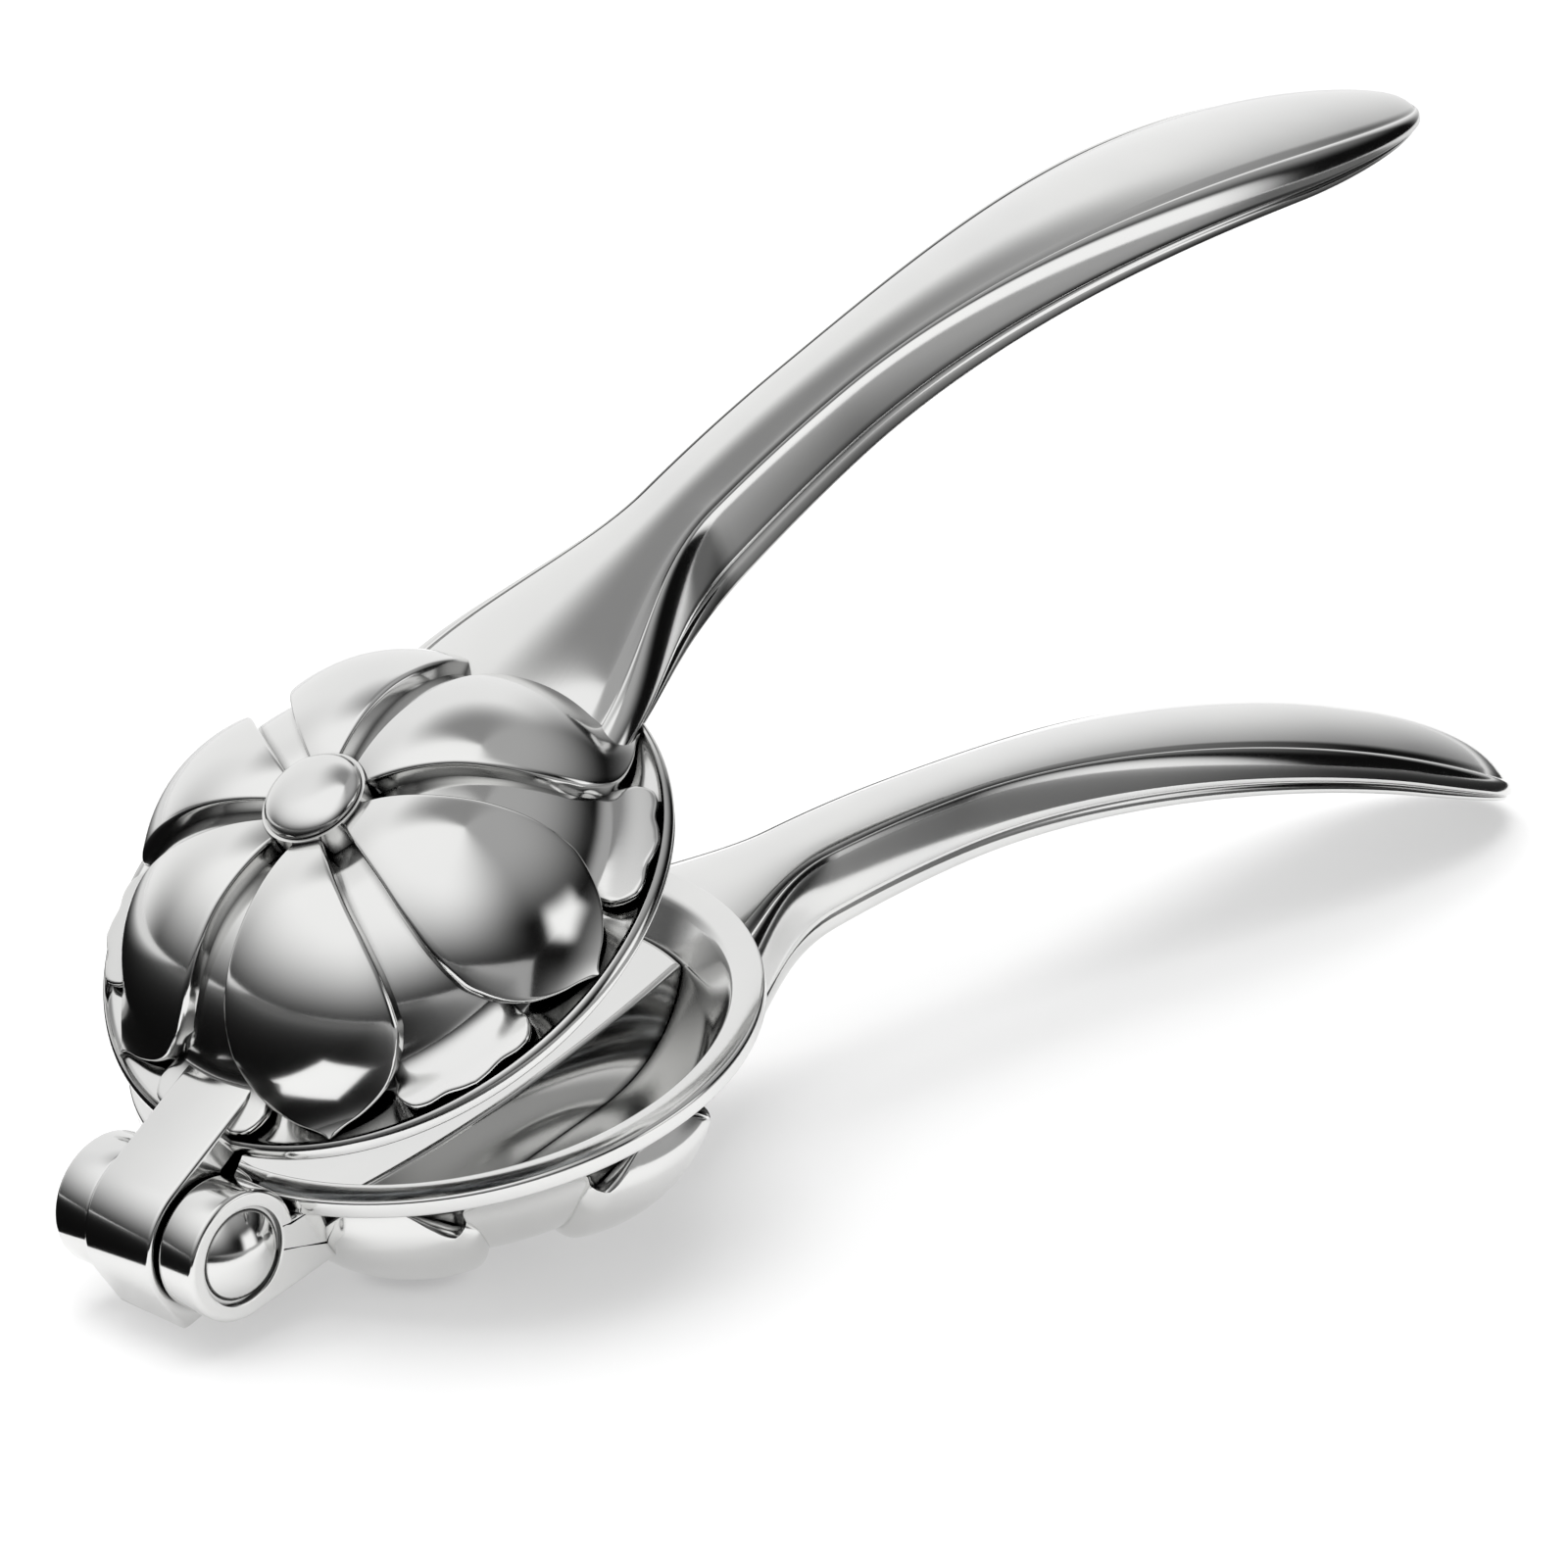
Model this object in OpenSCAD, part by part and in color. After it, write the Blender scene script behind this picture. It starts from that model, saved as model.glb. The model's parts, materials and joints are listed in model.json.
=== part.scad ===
// Chestnut cutter: two petalled cups on a riveted hinge, squeezed by two long arched handles.
// The upper cup holds a cross of blades that scores the shell. The lower bowl holds the nut
// on a broad bar across it. All sizes are in millimetres.
// X runs from the hinge to the handle tips, Y along the hinge pin, Z up from the table it lies on.

/* [Jaws] */
// Distance from the hinge pin to the middle of the cups
cup_reach = 30.6; // [29:0.1:36]
// Height of the lower rim above the hinge pin
rim_rise = 1.9; // [1:0.1:4]
// Gap between the two rims when the jaws are closed
closed_gap = 1.2; // [0.6:0.1:3]
// Angle between the jaws as they are shown
opening = 22.6; // [0:0.1:50]

/* [Upper cup] */
// Outer radius of the thin rim
upper_rim_r = 24.8; // [23:0.1:28]
// Thickness of the thin rim
upper_rim_t = 1.1; // [0.8:0.1:2]
// Inner radius at the mouth
upper_mouth_r = 21; // [19:0.1:22.5]
// Distance of each petal's bulge centre from the cup's axis
upper_ball_x = 8.3; // [7:0.1:10]
// Height of each petal's bulge centre above the rim
upper_ball_z = 0; // [-1:0.1:1]

/* [Lower bowl] */
// Outer radius of the flat rim
lower_rim_r = 26; // [25:0.1:28]
// Thickness of the flat rim
lower_rim_t = 1.6; // [1:0.1:2.5]
// Inner radius at the mouth
lower_mouth_r = 23.4; // [22:0.1:24]
// Distance of each petal's bulge centre from the bowl's axis
lower_ball_x = 11.1; // [9:0.1:12]
// Depth of each petal's bulge centre below the rim
lower_ball_z = 0.9; // [-0.5:0.1:2]

/* [Cup walls] */
// Wall thickness between the petals
cup_wall = 1.7; // [1.2:0.1:2.5]
// Height of the tapered mouth
mouth_h = 4; // [3:0.1:6]

/* [Petals] */
// Number of petals on each cup
petal_count = 6; // [6:2:8]
// Radius of each petal's bulge
ball_r = 14; // [12:0.1:16]
// Height of the petals over the wall between them
petal_relief = 2; // [1:0.1:3]
// Half width of a petal at its broadest
petal_w = 7.1; // [5:0.1:8]
// Half width of a petal at the button
petal_neck_w = 1.4; // [1:0.1:2.2]
// Length of the point below the broad end
petal_tip = 1.4; // [0.4:0.1:2]

/* [Leaf skirt] */
// How far the leaf tips stay inside the rim's edge
leaf_inset = 0.9; // [0.5:0.1:2]
// Height of the leaf tips above the rim
leaf_h = 0.8; // [0.4:0.1:1.5]
// Radius of the hollow flare down to the leaf tips
leaf_flare_r = 5; // [4:0.1:7]
// Radius of each scallop between two leaves
scallop_r = 3; // [2:0.1:5]
// Depth of each scallop
scallop_depth = 2; // [0.5:0.1:2.5]
// Angle from the middle of a petal to the scallop beside it
scallop_turn = 9.5; // [8:0.5:14]

/* [Rivets] */
// Radius of the button head on each cup
button_r = 4.1; // [3.5:0.1:5]
// Height of the button head
button_h = 1.5; // [1:0.1:3]
// Height of the upper button's seat above the rim
upper_seat = 13.6; // [12.5:0.1:15]
// Depth of the lower button's seat below the rim
lower_seat = 14; // [13:0.1:15]
// Radius of the rivet shank
rivet_r = 2; // [1.5:0.1:2.5]

/* [Blades] */
// Thickness of the blade strip
blade_t = 1; // [0.6:0.1:1.5]
// Length of each blade
blade_l = 30; // [24:0.5:32]
// Height of the cutting edges above the upper rim plane
blade_edge_z = 1.5; // [0.5:0.1:3]
// Height of the ground bevel
bevel_h = 1.6; // [1:0.1:2]
// Thickness left at the cutting edge
edge_t = 0.2; // [0.1:0.05:0.4]
// Radius of the hub that carries the blades
hub_r = 4.6; // [4:0.1:6]
// Height of the hub
hub_h = 5.5; // [4.5:0.1:6]
// Depth of the blade slots in the hub
slot_h = 2.3; // [1.5:0.1:2.6]

/* [Cradle] */
// Width of the bar that the nut lies on
cradle_w = 14.5; // [10:0.1:16]
// Depth of the bar's ends below the rim
cradle_drop = 3.2; // [2.5:0.1:6]
// Radius of the hollow the nut lies in
cradle_dish_r = 150; // [100:1:200]

/* [Hinge] */
// Radius of the hinge pin
pin_r = 2.4; // [1.8:0.1:3]
// Radius of the pin's domed heads
pin_head_r = 3.7; // [3.2:0.1:4.5]
// Height of the pin's domed heads
pin_head_h = 1.7; // [1:0.1:2.5]
// Depth of the recess under each head
head_recess = 0.4; // [0.2:0.1:0.8]
// Radius of the hinge lugs
lug_r = 5.4; // [5:0.1:6]
// Thickness of each lug
lug_t = 3.95; // [3:0.05:6]
// Radius of the tongue's round knuckle
tongue_r = 6; // [5.5:0.1:6.5]
// Width of the tongue
tongue_w = 7.5; // [6:0.1:10]
// How far the tongue's square heel reaches below the pin
heel_drop = 4.4; // [3:0.1:5]

/* [Handles] */
// Length of the upper handle along its curve
upper_handle_l = 127; // [100:1:150]
// Length of the lower handle along its curve
lower_handle_l = 135; // [110:1:150]
// Height of the upper handle's edge above the upper rim, at the root
upper_handle_z = 4.2; // [3:0.1:6]
// Depth of the lower handle's edge below the lower rim, at the root
lower_handle_z = 4.1; // [3.6:0.1:6]
// Distance of each handle's first section from the cup's axis
root_x = 16; // [14:0.1:17]
// Lean of the flats on which each handle seats against the petals
seat_lean = 18; // [12:0.5:24]
// Angle through which the upper handle curves down
upper_droop = 42.5; // [20:0.5:50]
// Angle through which the lower handle curves down
lower_droop = 42; // [20:0.5:50]
// Half width at the root
root_w = 13; // [10:0.1:13.5]
// Half width at the waist
waist_w = 4.4; // [3.5:0.1:6]
// Half width at the broad end
paddle_w = 9.7; // [7:0.1:12]
// Distance over which the root narrows to the waist
flare_l = 26; // [18:1:40]
// Where the handle starts to broaden
broaden_from = 45; // [30:1:60]
// Where the handle is at its broadest
broaden_to = 103; // [80:1:110]
// Length of the rounded end
end_l = 28; // [15:1:40]
// Thickness of the upper handle where it leaves the cup, above the rim
upper_root_t = 3.3; // [2.5:0.1:3.6]
// Thickness of the lower handle where it leaves the bowl
lower_root_t = 8.4; // [6:0.1:10]
// Thickness at the neck
neck_t = 8.2; // [6:0.1:8.6]
// Thickness at the tip
tip_t = 2.4; // [1.5:0.1:4]
// Rise of the crowned top face, as a share of the half width
crown_share = 0.22; // [0.1:0.01:0.35]

/* [Clearances] */
// Gap where one fixed piece seats on another
seat_gap = 0.08; // [0.03:0.01:0.2]
// Radial gap of the pin in the tongue
run_gap = 0.05; // [0.02:0.01:0.09]
// Gap between the tongue and what it turns beside
side_gap = 0.3; // [0.2:0.05:0.6]

/* [Hidden] */
$fn = 48;

// Just enough to keep two touching outlines from sharing an edge
skim = 0.02;
// Reach of cutting shapes past what they cut
past = 1;

// Radii of the rounded wall between the petals, outside and inside
turn_out = ball_r - petal_relief;
turn_in = turn_out - cup_wall;
petal_step = 360 / petal_count;

upper_rim_z = rim_rise + closed_gap;
upper_ceiling = upper_ball_z + turn_in;
lower_floor = lower_ball_z + turn_in;
inner_face = tongue_w / 2 + side_gap;
outer_face = inner_face + lug_t;

// A handle's middle line is an arc that starts level at its root
handle_root = cup_reach + root_x;
function bend_r(length, droop) = length / (droop * PI / 180);
function line_x(length, droop, u) = bend_r(length, droop) * sin(droop * u / length);
function line_z(length, droop, u) = -bend_r(length, droop) * (1 - cos(droop * u / length));

function ease(from, to, u) =
    let (t = min(1, max(0, (u - from) / (to - from))))
    t * t * (3 - 2 * t);
function end_share(length, u) = max(0, (u - (length - end_l)) / end_l);
function half_w(length, u) =
    (waist_w + (root_w - waist_w) * (1 - ease(0, flare_l, u))
     + (paddle_w - waist_w) * ease(broaden_from, broaden_to, u))
    * sqrt(1 - pow(end_share(length, u), 2));
function thick(length, root_t, u) =
    (neck_t + (tip_t - neck_t) * u / length + (root_t - neck_t) * (1 - ease(0, flare_l, u)))
    * (1 - 0.4 * pow(end_share(length, u), 2));

// The last section stops just short of a point
end_stop = 82;
end_steps = 12;
long_steps = 30;
function stations(length) = concat(
    [for (i = [0 : long_steps - 1]) (length - end_l) * i / long_steps],
    [for (i = [0 : end_steps]) length - end_l + end_l * sin(end_stop * i / end_steps)]);

// Where the lower handle's tip and the two petals by the hinge touch the table
lower_tip_u = lower_handle_l - end_l + end_l * sin(end_stop);
tip_turn = lower_droop * lower_tip_u / lower_handle_l;
tip_deep = thick(lower_handle_l, lower_root_t, lower_tip_u);
tip_mid_x = handle_root + line_x(lower_handle_l, lower_droop, lower_tip_u);
tip_mid_z = rim_rise - lower_handle_z + line_z(lower_handle_l, lower_droop, lower_tip_u);
tip_low_x = tip_mid_x - tip_deep * sin(tip_turn);
tip_low_z = tip_mid_z - tip_deep * cos(tip_turn);
foot_x = cup_reach - lower_ball_x * cos(petal_step / 2);
foot_z = rim_rise - lower_ball_z;
foot_to_tip = norm([tip_low_x - foot_x, tip_low_z - foot_z]);
pitch = -atan2(tip_low_z - foot_z, tip_low_x - foot_x) - asin(ball_r / foot_to_tip);
pin_height = ball_r - foot_x * sin(pitch) - foot_z * cos(pitch);
front_x = -tongue_r;
back_x = tip_mid_x * cos(pitch) - tip_mid_z * sin(pitch)
    + crown_share * half_w(lower_handle_l, lower_tip_u) * sin(tip_turn - pitch);
middle_x = (front_x + back_x) / 2;

// Lays the tool on the table, with the lower jaw pitched as it really lies
module at_rest() {
    translate([-middle_x, 0, pin_height])
    rotate([0, -pitch, 0])
    children();
}

// Turns the upper jaw about the hinge pin
module opened() {
    at_rest()
    rotate([0, -opening, 0])
    children();
}

module at_upper_cup() {
    opened()
    translate([cup_reach, 0, upper_rim_z])
    children();
}

// The lower bowl is an upper cup turned upside down
module at_lower_bowl() {
    at_rest()
    translate([cup_reach, 0, rim_rise])
    mirror([0, 0, 1])
    children();
}

// A petal's outline: narrow at the button, broad below, running out in a point
module petal_outline(half_l) {
    belly = half_l - petal_tip - petal_w;
    lean = asin((petal_w - petal_neck_w) / (half_l + belly));
    tip_lean = asin(petal_w / (petal_w + petal_tip));
    union() {
        translate([belly, 0])
        circle(petal_w);
        polygon([
            [-half_l, -petal_neck_w],
            [belly - petal_w * sin(lean), -(petal_w - skim) * cos(lean)],
            [belly + petal_w * sin(tip_lean), -(petal_w - skim) * cos(tip_lean)],
            [half_l, 0],
            [belly + petal_w * sin(tip_lean), (petal_w - skim) * cos(tip_lean)],
            [belly - petal_w * sin(lean), (petal_w - skim) * cos(lean)],
            [-half_l, petal_neck_w]
        ]);
    }
}

// One petal: a piece of a ball, cut to the petal's outline
module petal(rim_t, ball_x, ball_z) {
    crown_turn = acos((button_r - ball_x) / ball_r);
    rim_turn = asin((rim_t + leaf_h - ball_z) / ball_r);
    facing = (crown_turn + rim_turn) / 2;
    half_l = ball_r * sin((crown_turn - rim_turn) / 2);
    translate([ball_x, 0, ball_z])
    rotate([0, 90 - facing, 0])
    intersection() {
        sphere(ball_r);
        linear_extrude(ball_r + past)
        petal_outline(half_l);
    }
}

// The dome between the petals, without its hollow
module dome_form(rim_r, rim_t, ball_x, ball_z) {
    rotate_extrude()
    union() {
        square([rim_r, rim_t]);
        polygon([
            [0, 0],
            [ball_x, 0],
            [ball_x, ball_z + turn_out - skim],
            [0, ball_z + turn_out + skim]
        ]);
        intersection() {
            translate([ball_x, ball_z])
            circle(turn_out);
            square([2 * rim_r, 2 * turn_out]);
        }
    }
}

// The flared leaves below the petals
module leaf_form(rim_r, rim_t, ball_x) {
    edge = rim_r - leaf_inset;
    low = rim_t + leaf_h;
    inside = ball_x + turn_in;
    rotate_extrude()
    difference() {
        translate([inside, rim_t / 2])
        square([edge - inside, low + leaf_flare_r / 2 - rim_t / 2]);
        translate([edge + skim, low + leaf_flare_r])
        circle(leaf_flare_r);
    }
}

module leaf_skirt(rim_r, rim_t, ball_x) {
    difference() {
        leaf_form(rim_r, rim_t, ball_x);
        for (i = [0 : petal_count - 1])
            for (side = [-1, 1])
                rotate([0, 0, (i + 0.5) * petal_step + side * scallop_turn])
                translate([rim_r - leaf_inset + scallop_r - scallop_depth, 0, rim_t])
                cylinder(r = scallop_r, h = leaf_flare_r);
    }
}

// The hollow inside: a tapered mouth running into a rounded vault
module cup_hollow(mouth_r, ball_x, ball_z) {
    mouth_in = ball_x + sqrt(turn_in * turn_in - pow(mouth_h - ball_z, 2));
    slope = (mouth_r - mouth_in) / mouth_h;
    rotate_extrude()
    union() {
        polygon([
            [0, -past],
            [mouth_r + past * slope, -past],
            [mouth_in - skim, mouth_h],
            [0, mouth_h]
        ]);
        translate([0, mouth_h - past])
        square([ball_x, ball_z + turn_in - mouth_h + past]);
        intersection() {
            translate([ball_x, ball_z])
            circle(turn_in);
            translate([0, mouth_h - past])
            square([2 * mouth_r, 2 * turn_in]);
        }
    }
}

// A whole petalled cup, mouth down; its leaves end in scallops or run whole to the rim
module cup(rim_r, rim_t, mouth_r, ball_x, ball_z, seat_z, scalloped) {
    ceiling = ball_z + turn_in;
    difference() {
        union() {
            dome_form(rim_r, rim_t, ball_x, ball_z);
            if (scalloped)
                leaf_skirt(rim_r, rim_t, ball_x);
            else
                leaf_form(rim_r, rim_t, ball_x);
            for (i = [0 : petal_count - 1])
                rotate([0, 0, (i + 0.5) * petal_step])
                intersection() {
                    petal(rim_t, ball_x, ball_z);
                    translate([0, -rim_r, rim_t / 2])
                    cube([rim_r, 2 * rim_r, seat_z + ball_r]);
                }
            translate([0, 0, ceiling])
            cylinder(r = button_r + side_gap, h = seat_z - ceiling);
        }
        cup_hollow(mouth_r, ball_x, ball_z);
        translate([0, 0, seat_z])
        cylinder(r = button_r + side_gap, h = ball_r);
        cylinder(r = rivet_r + seat_gap, h = seat_z + past);
    }
}

// A round outline made of flats that just clear its radius
flat_count = 24;
function flats(r) = [for (i = [0 : flat_count - 1])
    let (a = 360 * (i + 0.5) / flat_count)
    r / cos(180 / flat_count) * [cos(a), sin(a)]];

// The seat of a handle's root: flats around the rim, the leaves and the two nearest petals
module handle_seat(rim_r, rim_t, ball_x, ball_z) {
    edge = rim_r - leaf_inset + seat_gap;
    low = rim_t + leaf_h + seat_gap;
    ball = ball_x * [cos(petal_step / 2), sin(petal_step / 2)];
    reach = (ball_r + seat_gap) / cos(seat_lean);
    front = ball[0] + reach;
    corners = [for (a = [15, 45, 75]) ball + reach / cos(15) * [cos(a), sin(a)]];
    translate([0, 0, -past])
    linear_extrude(low + past)
    polygon(flats(rim_r + seat_gap));
    translate([0, 0, low - skim])
    linear_extrude(leaf_flare_r / 2, scale = 1 - leaf_flare_r * cos(30) / edge)
    polygon(flats(edge));
    translate([0, 0, ball_z])
    linear_extrude(ball_r, scale = 1 - ball_r * tan(seat_lean) / front)
    polygon(concat(
        [for (c = corners) c],
        [[0, ball[1] + reach], [0, -ball[1] - reach]],
        [for (i = [2 : -1 : 0]) [corners[i][0], -corners[i][1]]]));
}

// The room that a cup takes up on the hinge side, for what seats against it:
// its rim and leaves, and the full balls of the two nearest petals
module cup_room(rim_r, rim_t, ball_x, ball_z) {
    edge = rim_r - leaf_inset + seat_gap;
    low = rim_t + leaf_h + seat_gap;
    flare_top = low + leaf_flare_r / 2;
    rotate_extrude()
    polygon([
        [0, -seat_gap],
        [rim_r + seat_gap, -seat_gap],
        [rim_r + seat_gap, rim_t + seat_gap],
        [edge, rim_t + seat_gap],
        [edge, low],
        [edge - leaf_flare_r * cos(30), flare_top],
        [0, flare_top]
    ]);
    for (turn = [-petal_step / 2, petal_step / 2])
        rotate([0, 0, 180 + turn])
        translate([ball_x, 0, ball_z])
        sphere(ball_r + seat_gap);
}

module upper_room() {
    translate([cup_reach, 0, upper_rim_z])
    cup_room(upper_rim_r, upper_rim_t, upper_ball_x, upper_ball_z);
}

module lower_room() {
    translate([cup_reach, 0, rim_rise])
    mirror([0, 0, 1])
    cup_room(lower_rim_r, lower_rim_t, lower_ball_x, lower_ball_z);
}

// Button-headed rivet through the middle of a cup
module button_rivet(seat_z, tail_z) {
    ball_r = (button_r * button_r + button_h * button_h) / (2 * button_h);
    rotate_extrude()
    intersection() {
        translate([0, seat_z + seat_gap + button_h - ball_r])
        circle(ball_r);
        translate([0, seat_z + seat_gap])
        square([button_r - skim, button_h + past]);
    }
    translate([0, 0, tail_z])
    cylinder(r = rivet_r, h = seat_z + seat_gap + button_h / 2 - tail_z);
}

// Half of a handle's section: crowned top, bead along the edge, groove, lip and hollow underside
crown_steps = 7;
bead_steps = 5;
function half_section(w, t) = concat(
    [for (i = [0 : crown_steps - 1])
        let (y = i / crown_steps)
        [0.84 * w * y, crown_share * w * (1 - y * y)]],
    [[0.84 * w, -0.02 * t]],
    [for (i = [0 : bead_steps])
        let (a = 120 - 210 * i / bead_steps)
        [0.92 * w + 0.08 * w * cos(a), -0.22 * t + 0.2 * t * sin(a)]],
    [[0.86 * w, -0.56 * t], [0.92 * w, -0.8 * t], [0.88 * w, -t],
     [0.64 * w, -t], [0.5 * w, -0.6 * t], [0.25 * w, -0.56 * t]]);
function whole_section(w, t) =
    let (half = half_section(w, t), last = len(half) - 1)
    concat(half, [[0, -0.55 * t]], [for (i = [last : -1 : 1]) [-half[i][0], half[i][1]]]);

// Sections set square to the arc and joined by strips of triangles
module handle_loft(length, droop, root_t) {
    rings = [for (u = stations(length))
        let (turn = droop * u / length,
             section = whole_section(half_w(length, u), thick(length, root_t, u)))
        [for (p = section)
            [line_x(length, droop, u) + p[1] * sin(turn), p[0],
             line_z(length, droop, u) + p[1] * cos(turn)]]];
    count = len(rings[0]);
    last = len(rings) - 1;
    points = [for (ring = rings) for (p = ring) p];
    sides = [for (i = [0 : last - 1]) for (j = [0 : count - 1])
        let (a = i * count + j, b = i * count + (j + 1) % count)
        each [[a, b + count, a + count], [a, b, b + count]]];
    root = [for (j = [count - 1 : -1 : 0]) j];
    tip = [for (j = [0 : count - 1]) last * count + j];
    polyhedron(points, concat([root], sides, [tip]));
}

module upper_cup() {
    color("silver")
    at_upper_cup()
    cup(upper_rim_r, upper_rim_t, upper_mouth_r, upper_ball_x, upper_ball_z, upper_seat, true);
}

module upper_handle() {
    color("gainsboro")
    opened()
    difference() {
        translate([handle_root, 0, upper_rim_z + upper_handle_z])
        handle_loft(upper_handle_l, upper_droop, upper_root_t);
        translate([cup_reach, 0, upper_rim_z])
        handle_seat(upper_rim_r, upper_rim_t, upper_ball_x, upper_ball_z);
    }
}

// Outline of the tongue: round knuckle, flat top running back to the cup, square heel
module tongue_outline() {
    union() {
        circle(tongue_r);
        translate([0, upper_rim_z])
        square([cup_reach - upper_ball_x, tongue_r - upper_rim_z - skim]);
        polygon([
            [0, 0],
            [-tongue_r + skim, 0],
            [-tongue_r + skim, -heel_drop],
            [-tongue_r / 3, -tongue_r + skim]
        ]);
    }
}

module hinge_tongue() {
    color("lightsteelblue")
    opened()
    difference() {
        rotate([90, 0, 0])
        linear_extrude(tongue_w, center = true)
        tongue_outline();
        upper_room();
        rotate([90, 0, 0])
        cylinder(r = pin_r + run_gap, h = tongue_w + 2 * past, center = true);
    }
}

module crown_rivet() {
    color("whitesmoke")
    at_upper_cup()
    button_rivet(upper_seat, upper_ceiling - hub_h + slot_h);
}

// The hub takes the rivet's tail from above and the crossed blades from below
module blade_hub() {
    color("darkgray")
    at_upper_cup()
    translate([0, 0, upper_ceiling - seat_gap - hub_h])
    difference() {
        cylinder(r = hub_r, h = hub_h);
        translate([0, 0, slot_h])
        cylinder(r = rivet_r + seat_gap, h = hub_h);
        for (turn = [0, 90])
            rotate([0, 0, turn])
            translate([-hub_r - past, -blade_t / 2 - seat_gap, -past])
            cube([2 * (hub_r + past), blade_t + 2 * seat_gap, slot_h + past]);
    }
}

// Side view of a blade, whose back follows the vault with a little room
module blade_side() {
    top = upper_ceiling - side_gap;
    intersection() {
        translate([-blade_l / 2, 0])
        square([blade_l, top]);
        union() {
            translate([-upper_ball_x, 0])
            square([2 * upper_ball_x, top - skim]);
            for (end = [-1, 1])
                translate([end * upper_ball_x, upper_ball_z])
                circle(turn_in - side_gap);
        }
    }
}

module blade() {
    hub_foot = upper_ceiling - seat_gap - hub_h;
    step_z = hub_foot + slot_h - seat_gap;
    difference() {
        intersection() {
            translate([-blade_l / 2, 0, 0])
            rotate([90, 0, 90])
            linear_extrude(blade_l)
            polygon([
                [-blade_t / 2, upper_ceiling],
                [-blade_t / 2, blade_edge_z + bevel_h],
                [-edge_t / 2, blade_edge_z],
                [edge_t / 2, blade_edge_z],
                [blade_t / 2, blade_edge_z + bevel_h],
                [blade_t / 2, upper_ceiling]
            ]);
            rotate([90, 0, 0])
            linear_extrude(2 * blade_t, center = true)
            blade_side();
        }
        translate([0, 0, step_z])
        cylinder(r = hub_r + seat_gap, h = hub_h + slot_h);
    }
}

// The two blades cross with half-lapped slots
lap_z = (blade_edge_z + upper_ceiling - seat_gap - hub_h + slot_h) / 2;

module long_blade() {
    color("dimgray")
    at_upper_cup()
    difference() {
        blade();
        translate([-blade_t / 2 - seat_gap, -blade_t, lap_z + seat_gap - hub_h])
        cube([blade_t + 2 * seat_gap, 2 * blade_t, hub_h]);
    }
}

module cross_blade() {
    color("gray")
    at_upper_cup()
    rotate([0, 0, 90])
    difference() {
        blade();
        translate([-blade_t / 2 - seat_gap, -blade_t, lap_z])
        cube([blade_t + 2 * seat_gap, 2 * blade_t, hub_h]);
    }
}

// The lower rim is notched so that the tongue can turn
module lower_bowl() {
    color("silver")
    difference() {
        at_lower_bowl()
        cup(lower_rim_r, lower_rim_t, lower_mouth_r, lower_ball_x, lower_ball_z, lower_seat, false);
        at_rest()
        rotate([90, 0, 0])
        cylinder(r = tongue_r + side_gap, h = tongue_w + 2 * side_gap, center = true);
    }
}

module lower_handle() {
    color("gainsboro")
    at_rest()
    difference() {
        translate([handle_root, 0, rim_rise - lower_handle_z])
        handle_loft(lower_handle_l, lower_droop, lower_root_t);
        translate([cup_reach, 0, rim_rise])
        mirror([0, 0, 1])
        handle_seat(lower_rim_r, lower_rim_t, lower_ball_x, lower_ball_z);
    }
}

// One hinge lug: round end about the pin, arm running back under the rim to the bowl
module lug() {
    difference() {
        translate([0, -inner_face, 0])
        rotate([90, 0, 0])
        linear_extrude(lug_t)
        union() {
            circle(lug_r);
            translate([0, -lug_r + skim])
            square([cup_reach - lower_ball_x, lug_r + rim_rise - lower_rim_t]);
        }
        lower_room();
        rotate([90, 0, 0])
        cylinder(r = pin_r + seat_gap, h = outer_face + past);
        translate([0, -outer_face + head_recess, 0])
        rotate([90, 0, 0])
        cylinder(r = pin_head_r + side_gap, h = head_recess + past);
    }
}

module near_lug() {
    color("lightsteelblue")
    at_rest()
    lug();
}

module far_lug() {
    color("lightsteelblue")
    at_rest()
    mirror([0, 1, 0])
    lug();
}

// Rivet pin with a domed head at each end
module hinge_pin() {
    seat = outer_face - head_recess + seat_gap;
    ball_r = (pin_head_r * pin_head_r + pin_head_h * pin_head_h) / (2 * pin_head_h);
    color("whitesmoke")
    at_rest()
    rotate([90, 0, 0])
    union() {
        cylinder(r = pin_r, h = 2 * seat + pin_head_h, center = true);
        for (end = [0, 1])
            mirror([0, 0, end])
            rotate_extrude()
            intersection() {
                translate([0, seat + pin_head_h - ball_r])
                circle(ball_r);
                translate([0, seat])
                square([pin_head_r - skim, pin_head_h + past]);
            }
    }
}

// Broad bar for the nut to lie on, hollowed on top and fitted to the inside of the bowl
module nut_cradle() {
    dish_sag = cradle_dish_r - sqrt(pow(cradle_dish_r, 2) - pow(lower_ball_x + turn_in, 2));
    color("lightgray")
    at_lower_bowl()
    difference() {
        intersection() {
            translate([-lower_mouth_r, -cradle_w / 2, cradle_drop - past])
            cube([2 * lower_mouth_r, cradle_w, lower_floor - cradle_drop + past]);
            rotate_extrude()
            union() {
                square([lower_ball_x, lower_floor - seat_gap]);
                intersection() {
                    translate([lower_ball_x, lower_ball_z])
                    circle(turn_in - seat_gap);
                    square([lower_mouth_r, lower_floor]);
                }
            }
        }
        translate([0, 0, cradle_drop + dish_sag - cradle_dish_r])
        rotate([90, 0, 0])
        cylinder(r = cradle_dish_r, h = cradle_w + 2 * past, center = true, $fn = 288);
        translate([0, 0, cradle_drop + dish_sag + past])
        cylinder(r = rivet_r + seat_gap, h = lower_floor);
    }
}

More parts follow.
